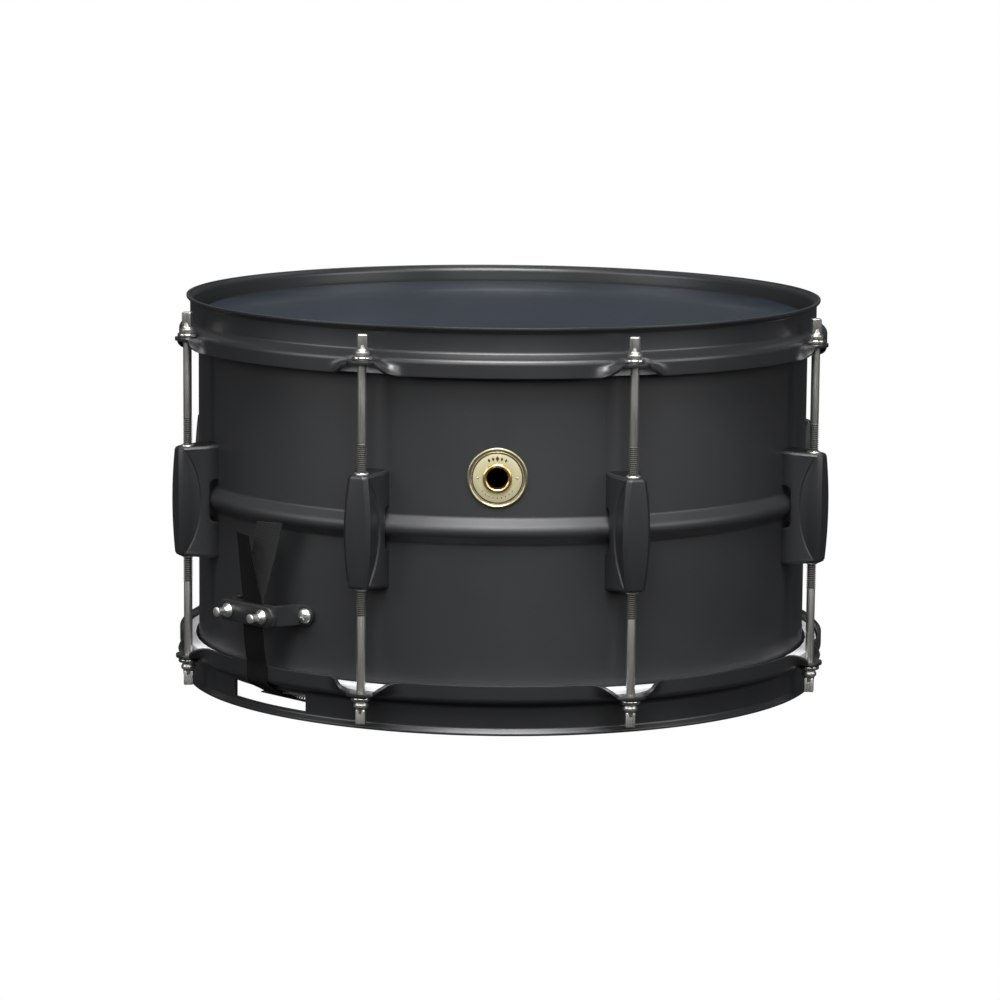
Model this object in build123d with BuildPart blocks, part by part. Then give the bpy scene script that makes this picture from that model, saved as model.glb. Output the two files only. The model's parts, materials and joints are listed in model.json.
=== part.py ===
"""Snare drum, 14 inches across and 8 inches deep, with an eight-lug beaded steel shell.

The drum stands on its snare-side hoop. The drum's axis is Z, the bottom rim lies at Z 0,
and the badge faces -Y. Angles are counted from the badge, towards +X.
"""

from build123d import *
import os
from math import cos, radians, sin

os.makedirs("parts", exist_ok=True)

# Shell, in millimetres
overall_height = 222.4
shell_depth = 203.2
shell_radius = 176.4
shell_sheet = 1.0
edge_turn = 3.7
lip_reach = 5.0
lip_fall = 2.3
bead_half_height = 8.0
bead_crown_half = 3.2
bead_rise = 4.7
middle = overall_height / 2
shell_top = middle + shell_depth / 2
shell_inside = shell_radius - shell_sheet

# Hoops
hoop_sheet = 2.0
wall_radius = 181.2
skirt_radius = 187.6
rim_radius = 183.35
shoulder_high = 207.4
shoulder_low = 204.2
skirt_bottom = 195.6
rim_bend_high = 220.0
rim_bend_low = 217.8
ear_top = 203.4
ear_sheet = 2.0
ear_tip = 197.5
ear_half_width = 8.0
ear_root_half = 19.5
ear_tip_round = 6.5
ear_hole = 3.3
gate_half_width = 29.0
gate_low = 4.8
gate_high = 13.7

# Heads
film = 0.3
film_height = shell_top + 0.3
head_hoop_inner = 178.3
head_hoop_outer = 184.8
head_hoop_low = 196.2
head_hoop_high = 203.6
head_groove_radius = 179.6
head_groove_half = 0.4
head_groove_low = 198.6
film_end = 199.0

# Lugs and tension rods
lug_count = 8
lug_angles = [22.5 + 45 * n for n in range(lug_count)]
rod_circle = 191.3
lug_height = 60.0
lug_low = middle - lug_height / 2
lug_high = middle + lug_height / 2
lug_front = 198.7
lug_notch_radius = 183.5
lug_notch_half = 12.3
lug_wall = 2.0
pocket_height = 10.0
rod_bore = 17.2
pocket_radius = 4.1
nut_radius = 4.0
nut_collar_radius = 3.35
nut_collar_rise = 0.8
thread_radius = 2.7
thread_clearance = 0.05
shank_radius = 2.375
thread_start = 158.0
rod_tip = 126.0
collar_radius = 3.85
collar_low = 207.2
collar_high = 208.8
key_square = 5.6
key_square_low = 211.2
rod_head_top = 217.8
washer_radius = 5.5
washer_hole = 3.0
washer_top = 206.9
lug_screw_offset = 15.0
screw_radius = 2.0
screw_hole = 2.3
screw_gap = 0.05
pan_head_radius = 3.8
pan_head = 3.2
wall_hole_depth = 6.0

# Badge and vent
badge_height = 140.6
badge_radius = 16.5
badge_sheet = 1.1
vent_radius = 5.7
grommet_barrel = 6.6
grommet_flange = 7.95
grommet_flange_sheet = 1.6

# Snares
snare_angle = 135.0
butt_angle = snare_angle - 180
strand_count = 20
strand_pitch = 2.0
strand_radius = 0.8
strand_half_length = 158.0
strand_height = 8.2
end_plate_low = 6.5
end_plate_sheet = 0.8
end_plate_reach = 167.0
end_plate_width = 42.0
strap_width = 16.0

# Butt
butt_height = 58.0
butt_bracket_height = 11.3
butt_sheet = 2.0
butt_screw_turn = 8.8
key_screw_spacing = 28.4
butt_plate_inner = 193.1
butt_plate_outer = 197.0
butt_plate_width = 46.0
butt_plate_height = 12.0
mount_screw_head = 4.25

# Strainer, measured out from the drum's axis and up from the bottom rim
base_low = 50.0
base_high = 100.0
base_half = 19.0
base_front = 183.1
lip_inner = 187.0
rail_front = 190.9
flange_half = 15.0
tongue_half = 12.9
slide_low = 46.0
slide_high = 74.0
slide_back = 183.3
slide_front = 190.7
yoke_high = 96.5
yoke_front = 186.9
cover_low = 76.0
cover_front = 194.0
pivot_height = 88.0
pivot_radius = 5.0
pivot_clearance = 0.05
crank_throw = 7.0
crank_pin_radius = 2.0
crank_slack = 0.25
crank_disc_radius = 9.3
crank_rest = crank_throw * sin(radians(45))
knob_circle = 203.5
knob_radius = 8.0
carriage_back = 194.2
carriage_front = 197.2
clamp_plate_back = 191.1
clamp_plate_front = 193.5
strainer_key_offset = 12.4
lever_back = 194.4
lever_sheet = 4.0
lever_length = 46.0
lever_square = 6.0
bridge_front = 208.0
knob_thread = 2.5
cover_screw_radius = 1.25
clamp_width = 34.0
clamp_height = 16.0

half_plane = Plane.XY.offset(middle)


def outward(angle):
    """The horizontal direction out of the drum at an angle from the badge."""
    return Vector(sin(radians(angle)), -cos(radians(angle)), 0)


def along(angle):
    """The horizontal direction round the drum at an angle from the badge."""
    return Vector(cos(radians(angle)), sin(radians(angle)), 0)


def level(angle, height):
    """A level plane on the drum's axis, with its X pointing outward."""
    return Plane(origin=(0, 0, height), x_dir=outward(angle), z_dir=(0, 0, 1))


def upright(angle):
    """A plane through the drum's axis, with X outward and Y up."""
    return Plane(origin=(0, 0, 0), x_dir=outward(angle), z_dir=-along(angle))


def facing(angle, radius, height):
    """A plane across the outward direction, with X round the drum and Y up."""
    place = outward(angle) * radius + Vector(0, 0, height)
    return Plane(origin=place, x_dir=along(angle), z_dir=outward(angle))


def drill(angle, height):
    """A round hole for cutting through the shell's wall."""
    with BuildPart() as hole:
        with BuildSketch(facing(angle, shell_inside - 2, height)):
            Circle(screw_hole)
        extrude(amount=wall_hole_depth)
    return hole.part


def save(piece, name):
    piece.label = name
    export_step(piece, "parts/" + name + ".step")


def mirrored(piece):
    """The same piece on the snare side."""
    with BuildPart() as twin:
        mirror(piece, about=half_plane)
    return twin.part


# Shell: one beaded steel sheet, its edges turned in at 45 degrees
wall = shell_radius - shell_sheet / 2
edge_high = shell_top - shell_sheet / 2
upper_shell = [
    (wall, middle + bead_half_height),
    (wall, edge_high - edge_turn),
    (wall - edge_turn, edge_high),
    (wall - edge_turn - lip_reach, edge_high - lip_fall),
]
upper_bead = (wall + bead_rise, middle + bead_crown_half)
lower_shell = [(r, overall_height - z) for r, z in reversed(upper_shell)]
lower_bead = (upper_bead[0], overall_height - upper_bead[1])
with BuildPart() as shell:
    with BuildSketch(upright(0)):
        with BuildLine():
            FilletPolyline(
                *lower_shell, lower_bead, upper_bead, *upper_shell,
                radius=[1.5, 2, 2.5, 5, 5, 2.5, 2, 1.5],
            )
        trace(line_width=shell_sheet)
    revolve(axis=Axis.Z)
    for angle in lug_angles:
        for height in (middle + lug_screw_offset, middle - lug_screw_offset):
            add(drill(angle, height), mode=Mode.SUBTRACT)
    for turn in (-butt_screw_turn, butt_screw_turn):
        add(drill(butt_angle + turn, butt_height), mode=Mode.SUBTRACT)
    for height in (base_low + 10, base_high - 10):
        add(drill(snare_angle, height), mode=Mode.SUBTRACT)
    with BuildSketch(facing(0, shell_inside - 2, badge_height)):
        Circle(grommet_barrel + 0.1)
    extrude(amount=wall_hole_depth, mode=Mode.SUBTRACT)
save(shell.part, "shell")

# Triple-flanged hoops, with an ear for each tension rod
skirt = skirt_radius - hoop_sheet / 2
hoop_wall = wall_radius - hoop_sheet / 2
rim = rim_radius - hoop_sheet / 2
with BuildPart() as batter_hoop:
    with BuildSketch(upright(0)):
        with BuildLine():
            FilletPolyline(
                (skirt, skirt_bottom), (skirt, shoulder_low), (hoop_wall, shoulder_high),
                (hoop_wall, rim_bend_low), (rim, rim_bend_high), (rim, overall_height),
                radius=[2.5, 2, 1.5, 1.5],
            )
        trace(line_width=hoop_sheet)
    revolve(axis=Axis.Z)
    for angle in lug_angles:
        with BuildSketch(facing(angle, skirt - 4, 0)):
            Polygon(
                (-ear_root_half, skirt_bottom - 1), (ear_root_half, skirt_bottom - 1),
                (ear_half_width, ear_top - ear_sheet), (-ear_half_width, ear_top - ear_sheet),
                align=None,
            )
        extrude(amount=8, mode=Mode.SUBTRACT)
        with BuildSketch(level(angle, ear_top - ear_sheet)):
            Polygon(
                (skirt - 0.9, -ear_half_width - 6), (skirt + 2.5, -ear_half_width),
                (ear_tip, -ear_half_width), (ear_tip, ear_half_width),
                (skirt + 2.5, ear_half_width), (skirt - 0.9, ear_half_width + 6),
                align=None,
            )
        extrude(amount=ear_sheet)
        tip_edges = batter_hoop.edges().filter_by(Axis.Z).filter_by(
            lambda edge: abs(edge.center().dot(outward(angle)) - ear_tip) < 0.1
        )
        fillet(tip_edges, ear_tip_round)
        with BuildSketch(level(angle, ear_top)):
            with Locations((rod_circle, 0)):
                Circle(washer_radius + 0.15)
        extrude(amount=6, mode=Mode.SUBTRACT)
        with BuildSketch(level(angle, ear_top - ear_sheet - 1)):
            with Locations((rod_circle, 0)):
                Circle(ear_hole)
        extrude(amount=ear_sheet + 2, mode=Mode.SUBTRACT)
save(batter_hoop.part, "batter_hoop")

with BuildPart() as snare_side_hoop:
    mirror(batter_hoop.part, about=half_plane)
    for angle in (butt_angle, snare_angle):
        with BuildSketch(facing(angle, wall_radius - 9, (gate_low + gate_high) / 2)):
            RectangleRounded(2 * gate_half_width, gate_high - gate_low, 2)
        extrude(amount=12, mode=Mode.SUBTRACT)
save(snare_side_hoop.part, "snare_side_hoop")

# Heads: a film over the bearing edge, glued into an aluminium flesh hoop
with BuildPart() as batter_head_film:
    with BuildSketch(upright(0)):
        with BuildLine():
            FilletPolyline(
                (0, film_height), (wall - edge_turn + 0.2, film_height),
                (178.4, 207.6), (head_groove_radius, 205.6), (head_groove_radius, film_end),
                radius=[2.5, 2, 2],
            )
        trace(line_width=film)
    revolve(axis=Axis.Z)
save(batter_head_film.part, "batter_head_film")

with BuildPart() as batter_head_hoop:
    with BuildSketch(upright(0)):
        with BuildLine():
            Polyline(
                (head_hoop_inner, head_hoop_low), (head_hoop_outer, head_hoop_low),
                (head_hoop_outer, head_hoop_high),
                (head_groove_radius + head_groove_half, head_hoop_high),
                (head_groove_radius + head_groove_half, head_groove_low),
                (head_groove_radius - head_groove_half, head_groove_low),
                (head_groove_radius - head_groove_half, head_hoop_high),
                (head_hoop_inner, head_hoop_high),
                close=True,
            )
        make_face()
    revolve(axis=Axis.Z)
save(batter_head_hoop.part, "batter_head_hoop")
save(mirrored(batter_head_film.part), "snare_head_film")
save(mirrored(batter_head_hoop.part), "snare_head_hoop")


def lug(angle):
    """A die-cast lug, saddled over the bead, with a pocket for a nut at each end."""
    with BuildPart() as body:
        with BuildSketch(level(angle, lug_low)):
            Polygon(
                (shell_radius - 4, -9.4), (lug_front - 2, -8), (lug_front, -6),
                (lug_front, 6), (lug_front - 2, 8), (shell_radius - 4, 9.4),
                align=None,
            )
        extrude(amount=lug_height)
        with BuildSketch(level(angle, lug_low)):
            Circle(shell_radius + 0.05)
        extrude(amount=lug_height, mode=Mode.SUBTRACT)
        with BuildSketch(level(angle, middle - lug_notch_half)):
            Circle(lug_notch_radius)
        extrude(amount=2 * lug_notch_half, mode=Mode.SUBTRACT)
        for low in (lug_low + lug_wall, lug_high - lug_wall - pocket_height):
            with BuildSketch(level(angle, low)):
                with Locations((rod_circle, 0)):
                    Circle(pocket_radius)
                with Locations(((shell_radius + rod_circle) / 2, 0)):
                    Rectangle(rod_circle - shell_radius + 2, 2 * pocket_radius)
            extrude(amount=pocket_height, mode=Mode.SUBTRACT)
        for low in (lug_low, lug_high - rod_bore):
            with BuildSketch(level(angle, low)):
                with Locations((rod_circle, 0)):
                    Circle(nut_collar_radius + 0.2)
            extrude(amount=rod_bore, mode=Mode.SUBTRACT)
        for height in (middle + lug_screw_offset, middle - lug_screw_offset):
            with BuildSketch(facing(angle, shell_radius - 1, height)):
                Circle(screw_radius + screw_gap)
            extrude(amount=10, mode=Mode.SUBTRACT)
    return body.part


for number, angle in enumerate(lug_angles, start=1):
    save(lug(angle), f"lug_{number}")

# Swivel nuts in the lugs, sixteen alike
with BuildPart() as upper_nuts:
    for angle in lug_angles:
        with BuildSketch(level(angle, lug_high - lug_wall - pocket_height + 0.2)):
            with Locations((rod_circle, 0)):
                Circle(nut_radius)
        extrude(amount=pocket_height - 0.4)
        with BuildSketch(level(angle, lug_high - lug_wall - 0.3)):
            with Locations((rod_circle, 0)):
                Circle(nut_collar_radius)
        extrude(amount=lug_wall + 0.3 + nut_collar_rise)
        with BuildSketch(level(angle, lug_high - lug_wall - pocket_height)):
            with Locations((rod_circle, 0)):
                Circle(thread_radius + thread_clearance)
        extrude(amount=pocket_height + 5, mode=Mode.SUBTRACT)
with BuildPart() as lug_nuts:
    add(upper_nuts.part)
    mirror(upper_nuts.part, about=half_plane)
save(lug_nuts.part, "lug_nuts")


def batter_rod(angle):
    """A square-headed tension rod with a threaded lower end."""
    axis_at = outward(angle) * rod_circle
    with BuildPart() as rod:
        with BuildSketch(Plane(origin=axis_at, x_dir=outward(angle), z_dir=-along(angle))):
            with BuildLine():
                Polyline(
                    (0, rod_tip), (thread_radius - 0.6, rod_tip), (thread_radius, rod_tip + 1),
                    (thread_radius, thread_start - 0.4), (shank_radius, thread_start),
                    (shank_radius, collar_low), (collar_radius, collar_low),
                    (collar_radius, collar_high), (key_square / 2, key_square_low),
                    (0, key_square_low),
                    close=True,
                )
            make_face()
        revolve(axis=Axis(axis_at, (0, 0, 1)))
        square_at = axis_at + Vector(0, 0, key_square_low)
        with BuildSketch(Plane(origin=square_at, x_dir=outward(angle))):
            Rectangle(key_square, key_square)
        extrude(amount=rod_head_top - key_square_low)
        chamfer(rod.faces().sort_by(Axis.Z)[-1].edges(), 0.6)
    return rod.part


for number, angle in enumerate(lug_angles, start=1):
    rod_piece = batter_rod(angle)
    save(rod_piece, f"batter_rod_{number}")
    save(mirrored(rod_piece), f"snare_rod_{number}")

# Cup washers under the rod heads, sixteen alike
with BuildPart() as upper_washers:
    for angle in lug_angles:
        axis_at = outward(angle) * rod_circle
        with BuildSketch(Plane(origin=axis_at, x_dir=outward(angle), z_dir=-along(angle))):
            with BuildLine():
                Polyline(
                    (washer_hole, ear_top + 0.05), (washer_radius, ear_top + 0.05),
                    (washer_radius, ear_top + 1), (collar_radius + 0.8, washer_top),
                    (collar_radius, washer_top), (washer_hole, washer_top - 0.8),
                    close=True,
                )
            make_face()
        revolve(axis=Axis(axis_at, (0, 0, 1)))
with BuildPart() as rod_washers:
    add(upper_washers.part)
    mirror(upper_washers.part, about=half_plane)
save(rod_washers.part, "rod_washers")



def inner_screw(angle, height, reach):
    """A pan-head screw put through the shell's wall from inside."""
    with BuildPart() as screw:
        with BuildSketch(facing(angle, shell_inside - pan_head - 0.2, height)):
            Circle(pan_head_radius)
        extrude(amount=pan_head)
        with BuildSketch(facing(angle, shell_inside - 1, height)):
            Circle(screw_radius)
        extrude(amount=reach)
    return screw.part


with BuildPart() as lug_screws:
    for angle in lug_angles:
        for height in (middle + lug_screw_offset, middle - lug_screw_offset):
            add(inner_screw(angle, height, 9.5))
save(lug_screws.part, "lug_screws")

# Badge and vent grommet
with BuildPart() as badge_plate:
    with BuildSketch(facing(0, shell_radius - 6, badge_height)):
        Circle(badge_radius)
        Circle(grommet_barrel + 0.1, mode=Mode.SUBTRACT)
    extrude(amount=12)
    with BuildSketch(level(0, badge_height - badge_radius - 1)):
        Circle(shell_radius + badge_sheet + 0.05)
        Circle(shell_radius + 0.05, mode=Mode.SUBTRACT)
    extrude(amount=2 * badge_radius + 2, mode=Mode.INTERSECT)
save(badge_plate.part, "badge_plate")

grommet_face = shell_radius + badge_sheet + 0.1
with BuildPart() as vent_grommet:
    with BuildSketch(facing(0, shell_inside - 1.4, badge_height)):
        Circle(grommet_barrel)
    extrude(amount=grommet_face - shell_inside + 2)
    with BuildSketch(facing(0, grommet_face, badge_height)):
        Circle(grommet_flange)
    extrude(amount=grommet_flange_sheet)
    fillet(vent_grommet.faces().sort_by(Axis.Y)[0].edges(), 1.2)
    with BuildSketch(facing(0, shell_inside - 1.4, badge_height)):
        Circle(grommet_flange)
    extrude(amount=1.1)
    with BuildSketch(facing(0, shell_inside - 3, badge_height)):
        Circle(vent_radius)
    extrude(amount=12, mode=Mode.SUBTRACT)
save(vent_grommet.part, "vent_grommet")

# Butt plate: a bent steel bracket and a clamp bar over the snare strap
tab_circle = shell_radius + 0.15 + butt_sheet / 2
tab_outer = Vector(tab_circle * cos(radians(10.4)), tab_circle * sin(radians(10.4)), 0)
tab_inner = Vector(tab_circle * cos(radians(7.2)), tab_circle * sin(radians(7.2)), 0)
stand_off = 190.9
with BuildPart() as butt_bracket:
    with BuildSketch(level(butt_angle, butt_height - butt_bracket_height / 2)):
        with BuildLine():
            FilletPolyline(
                (tab_outer.X, -tab_outer.Y), (tab_inner.X, -tab_inner.Y), (stand_off, -18),
                (stand_off, 18), (tab_inner.X, tab_inner.Y), (tab_outer.X, tab_outer.Y),
                radius=[2.5, 3, 3, 2.5],
            )
        trace(line_width=butt_sheet)
    extrude(amount=butt_bracket_height)
    for turn in (-butt_screw_turn, butt_screw_turn):
        with BuildSketch(facing(butt_angle + turn, shell_radius - 2, butt_height)):
            Circle(screw_hole)
        extrude(amount=6, mode=Mode.SUBTRACT)
    with BuildSketch(facing(butt_angle, stand_off - 4, butt_height)):
        with GridLocations(key_screw_spacing, 0, 2, 1):
            Circle(screw_radius + screw_gap)
    extrude(amount=8, mode=Mode.SUBTRACT)
    for side in (-1, 1):
        end_edges = butt_bracket.edges().filter_by(
            lambda edge: abs(edge.center().dot(along(butt_angle)) - side * tab_outer.Y) < 0.6
            and edge.length < 1.2 * butt_sheet
        )
        fillet(end_edges, 5)
save(butt_bracket.part, "butt_bracket")

with BuildPart() as butt_clamp_plate:
    with BuildSketch(facing(butt_angle, butt_plate_inner, butt_height)):
        SlotOverall(butt_plate_width, butt_plate_height)
        with GridLocations(key_screw_spacing, 0, 2, 1):
            Circle(screw_radius + 0.2, mode=Mode.SUBTRACT)
    extrude(amount=butt_plate_outer - butt_plate_inner)
    outer_face = butt_clamp_plate.faces().sort_by(Axis((0, 0, 0), outward(butt_angle)))[-1]
    chamfer(outer_face.outer_wire().edges(), 0.8)
save(butt_clamp_plate.part, "butt_clamp_plate")


def key_screw(angle, offset, seat, height, shank):
    """A thumb screw: flange, necked round head and a shank reaching inward from its seat."""
    place = outward(angle) * seat + along(angle) * offset + Vector(0, 0, height)
    with BuildPart() as screw:
        with BuildSketch(Plane(origin=place, x_dir=outward(angle), z_dir=-along(angle))):
            with BuildLine():
                Polyline(
                    (-shank, 0), (-shank, screw_radius), (0, screw_radius), (0, 4), (1.2, 4),
                    (2.6, 2.2), (5.2, 2.1), (5.9, 2.8), (7.6, 2.8), (8.6, 1.8), (8.6, 0),
                    close=True,
                )
            make_face()
        revolve(axis=Axis(place, outward(angle)))
    return screw.part


with BuildPart() as butt_key_screws:
    for offset in (-key_screw_spacing / 2, key_screw_spacing / 2):
        add(key_screw(butt_angle, offset, butt_plate_outer + 0.05, butt_height, 10))
save(butt_key_screws.part, "butt_key_screws")

tab_face = tab_circle + butt_sheet / 2 + 0.25
with BuildPart() as butt_mount_screws:
    for turn in (-butt_screw_turn, butt_screw_turn):
        with BuildSketch(facing(butt_angle + turn, tab_face, butt_height)):
            Circle(mount_screw_head)
        extrude(amount=2.4)
        with BuildSketch(facing(butt_angle + turn, tab_face - 8, butt_height)):
            Circle(screw_radius)
        extrude(amount=8)
save(butt_mount_screws.part, "butt_mount_screws")

with BuildPart() as butt_mount_nuts:
    for turn in (-butt_screw_turn, butt_screw_turn):
        with BuildSketch(facing(butt_angle + turn, shell_inside - 3.6, butt_height)):
            RegularPolygon(4, 6)
            Circle(screw_radius + screw_gap, mode=Mode.SUBTRACT)
        extrude(amount=pan_head)
save(butt_mount_nuts.part, "butt_mount_nuts")


def ribbon(angle, points, bends, thickness):
    """A flat strap along a path in an upright plane."""
    with BuildPart() as strap:
        with BuildSketch(upright(angle)):
            with BuildLine():
                FilletPolyline(*points, radius=bends)
            trace(line_width=thickness)
        extrude(amount=strap_width / 2, both=True)
    return strap.part


# Snares: coiled strands on two end plates, held by woven straps
with BuildPart() as snare_wires:
    with BuildSketch(facing(snare_angle, -strand_half_length, strand_height)):
        with GridLocations(strand_pitch, 0, strand_count, 1):
            Circle(strand_radius)
    extrude(amount=2 * strand_half_length)
save(snare_wires.part, "snare_wires")

with BuildPart() as snare_end_plates:
    with BuildSketch(level(snare_angle, end_plate_low)):
        with GridLocations(2 * end_plate_reach - 12, 0, 2, 1):
            Rectangle(12, end_plate_width)
        with GridLocations(2 * end_plate_reach - 6, 0, 2, 1):
            Rectangle(1.6, strap_width + 2, mode=Mode.SUBTRACT)
    extrude(amount=end_plate_sheet)
save(snare_end_plates.part, "snare_end_plates")

strap_under_plate = end_plate_low - 0.6
with BuildPart() as butt_strap:
    add(ribbon(
        butt_angle,
        [
            (192.5, butt_height + 6.5), (192.5, butt_height - 8), (188.5, 27), (188.5, 16.6),
            (183.4, 11.2), (174.5, 8), (168, strap_under_plate), (160, strap_under_plate),
        ],
        [8, 6, 2, 3, 6, 6], 0.6,
    ))
    add(ribbon(butt_angle, [(192.2, 65), (192.2, 72), (194.5, 101)], [6], 0.4))
    add(ribbon(butt_angle, [(192.9, 65), (193.4, 72), (197.5, 109.5)], [6], 0.4))
save(butt_strap.part, "butt_strap")

# Strainer: a slide in a T-slot, dropped by a crank on the throw lever
with BuildPart() as strainer_base:
    with BuildSketch(level(snare_angle, base_low)):
        with BuildLine():
            Polyline(
                (shell_radius - 6, -base_half), (rail_front, -base_half),
                (rail_front, -tongue_half - 0.2), (lip_inner, -tongue_half - 0.2),
                (lip_inner, -flange_half - 0.2), (base_front, -flange_half - 0.2),
                (base_front, flange_half + 0.2), (lip_inner, flange_half + 0.2),
                (lip_inner, tongue_half + 0.2), (rail_front, tongue_half + 0.2),
                (rail_front, base_half), (shell_radius - 6, base_half),
                close=True,
            )
        make_face()
    extrude(amount=base_high - base_low)
    with BuildSketch(level(snare_angle, base_high - 2.5)):
        with Locations(((base_front + rail_front) / 2, 0)):
            Rectangle(rail_front - base_front, 2 * base_half)
    extrude(amount=2.5)
    with BuildSketch(level(snare_angle, base_low)):
        Circle(shell_radius + 0.05)
    extrude(amount=base_high - base_low, mode=Mode.SUBTRACT)
    for height in (base_low + 10, base_high - 10):
        with BuildSketch(facing(snare_angle, shell_radius - 2, height)):
            Circle(screw_radius + screw_gap)
        extrude(amount=7.5, mode=Mode.SUBTRACT)
    with BuildSketch(facing(snare_angle, rail_front - 6, (cover_low + base_high) / 2)):
        with GridLocations(2 * (base_half - 2.2), base_high - cover_low - 6, 2, 2):
            Circle(1.3)
    extrude(amount=7, mode=Mode.SUBTRACT)
save(strainer_base.part, "strainer_base")

with BuildPart() as strainer_cover:
    with BuildSketch(facing(snare_angle, rail_front + 0.1, (cover_low + base_high) / 2)):
        RectangleRounded(2 * base_half, base_high - cover_low, 2)
        Circle(pivot_radius + pivot_clearance, mode=Mode.SUBTRACT)
        with GridLocations(2 * (base_half - 2.2), base_high - cover_low - 6, 2, 2):
            Circle(1.5, mode=Mode.SUBTRACT)
    extrude(amount=cover_front - rail_front - 0.1)
save(strainer_cover.part, "strainer_cover")

with BuildPart() as strainer_screws:
    for height in (base_low + 10, base_high - 10):
        add(inner_screw(snare_angle, height, 7))
    with BuildSketch(facing(snare_angle, rail_front - 5, (cover_low + base_high) / 2)):
        with GridLocations(2 * (base_half - 2.2), base_high - cover_low - 6, 2, 2):
            Circle(cover_screw_radius)
    extrude(amount=cover_front - rail_front + 5.1)
    with BuildSketch(facing(snare_angle, cover_front + 0.05, (cover_low + base_high) / 2)):
        with GridLocations(2 * (base_half - 2.2), base_high - cover_low - 6, 2, 2):
            Circle(2.1)
    extrude(amount=0.3)
save(strainer_screws.part, "strainer_screws")

arm_inner = 9.0
groove_inner = 9.0
groove_outer = 11.6
with BuildPart() as strainer_slide:
    with BuildSketch(level(snare_angle, slide_low)):
        with BuildLine():
            Polyline(
                (slide_back, -flange_half), (yoke_front - 0.1, -flange_half),
                (yoke_front - 0.1, -tongue_half), (slide_front, -tongue_half),
                (slide_front, tongue_half), (yoke_front - 0.1, tongue_half),
                (yoke_front - 0.1, flange_half), (slide_back, flange_half),
                close=True,
            )
        make_face()
    extrude(amount=slide_high - slide_low)
    with BuildSketch(level(snare_angle, slide_high)):
        with Locations(((slide_back + yoke_front) / 2, 0)):
            Rectangle(yoke_front - slide_back, 22)
    extrude(amount=yoke_high - slide_high)
    with BuildSketch(facing(snare_angle, slide_back - 1, pivot_height + crank_rest)):
        with Locations((-(crank_throw + crank_rest) / 2, 0)):
            SlotOverall(
                crank_throw - crank_rest + 2 * (crank_pin_radius + crank_slack),
                2 * (crank_pin_radius + crank_slack),
            )
    extrude(amount=6, mode=Mode.SUBTRACT)
    with BuildSketch(level(snare_angle, slide_low - 5)):
        for side in (-1, 1):
            arm_at = ((lip_inner + bridge_front) / 2, side * (arm_inner + tongue_half) / 2)
            with Locations(arm_at):
                Rectangle(bridge_front - lip_inner, tongue_half - arm_inner)
        with Locations(((carriage_front + 0.5 + bridge_front) / 2, 0)):
            Rectangle(bridge_front - carriage_front - 0.5, 2 * tongue_half)
        with Locations((knob_circle, 0)):
            Circle(2.6, mode=Mode.SUBTRACT)
    extrude(amount=4)
    with BuildSketch(level(snare_angle, slide_low - 1)):
        for side in (-1, 1):
            with Locations(((lip_inner + slide_front) / 2, side * (arm_inner + tongue_half) / 2)):
                Rectangle(slide_front - lip_inner, tongue_half - arm_inner)
    extrude(amount=1)
    with BuildSketch(level(snare_angle, slide_low - 6)):
        for side in (-1, 1):
            with Locations((slide_front - 0.7, side * (groove_inner + groove_outer) / 2)):
                Rectangle(3.4, groove_outer - groove_inner)
    extrude(amount=slide_high - slide_low + 7, mode=Mode.SUBTRACT)
save(strainer_slide.part, "strainer_slide")

with BuildPart() as strap_clamp_plate:
    with BuildSketch(facing(snare_angle, clamp_plate_back, butt_height)):
        RectangleRounded(clamp_width, clamp_height, 2)
        with GridLocations(2 * strainer_key_offset, 0, 2, 1):
            Circle(screw_radius + 0.05, mode=Mode.SUBTRACT)
    extrude(amount=clamp_plate_front - clamp_plate_back)
    with BuildSketch(facing(snare_angle, slide_front - 1.8, butt_height)):
        with GridLocations(groove_inner + groove_outer, 0, 2, 1):
            Rectangle(groove_outer - groove_inner - 0.5, 16)
    extrude(amount=clamp_plate_back - slide_front + 2.2)
    with BuildSketch(facing(snare_angle, slide_front - 2, butt_height)):
        with GridLocations(2 * strainer_key_offset, 0, 2, 1):
            Circle(screw_radius + 0.05)
    extrude(amount=6, mode=Mode.SUBTRACT)
save(strap_clamp_plate.part, "strap_clamp_plate")

with BuildPart() as strap_carriage:
    with BuildSketch(facing(snare_angle, carriage_back, butt_height)):
        RectangleRounded(clamp_width, clamp_height, 2)
        with GridLocations(2 * strainer_key_offset, 0, 2, 1):
            Circle(screw_radius + 0.2, mode=Mode.SUBTRACT)
    extrude(amount=carriage_front - carriage_back)
    with BuildSketch(level(snare_angle, butt_height - 8)):
        with Locations(((carriage_front + bridge_front) / 2 - 0.5, 0)):
            Rectangle(bridge_front - carriage_front + 1, 12)
        with Locations((knob_circle, 0)):
            Circle(knob_thread + screw_gap, mode=Mode.SUBTRACT)
    extrude(amount=8)
save(strap_carriage.part, "strap_carriage")

with BuildPart() as strainer_key_screws:
    for offset in (-strainer_key_offset, strainer_key_offset):
        add(key_screw(snare_angle, offset, carriage_front + 0.05, butt_height, 6))
save(strainer_key_screws.part, "strainer_key_screws")

with BuildPart() as tension_knob:
    with BuildSketch(level(snare_angle, slide_low - 16)):
        with Locations((knob_circle, 0)):
            Circle(knob_radius)
    extrude(amount=10.7)
    chamfer(tension_knob.edges().filter_by(GeomType.CIRCLE), 0.8)
    with BuildSketch(level(snare_angle, slide_low - 6)):
        with Locations((knob_circle, 0)):
            Circle(knob_thread)
    extrude(amount=27)
    with BuildSketch(level(snare_angle, slide_low - 17)):
        with Locations((knob_circle, 0)):
            with PolarLocations(knob_radius + 0.4, 18):
                Circle(0.8)
    extrude(amount=13, mode=Mode.SUBTRACT)
save(tension_knob.part, "tension_knob")

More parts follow.
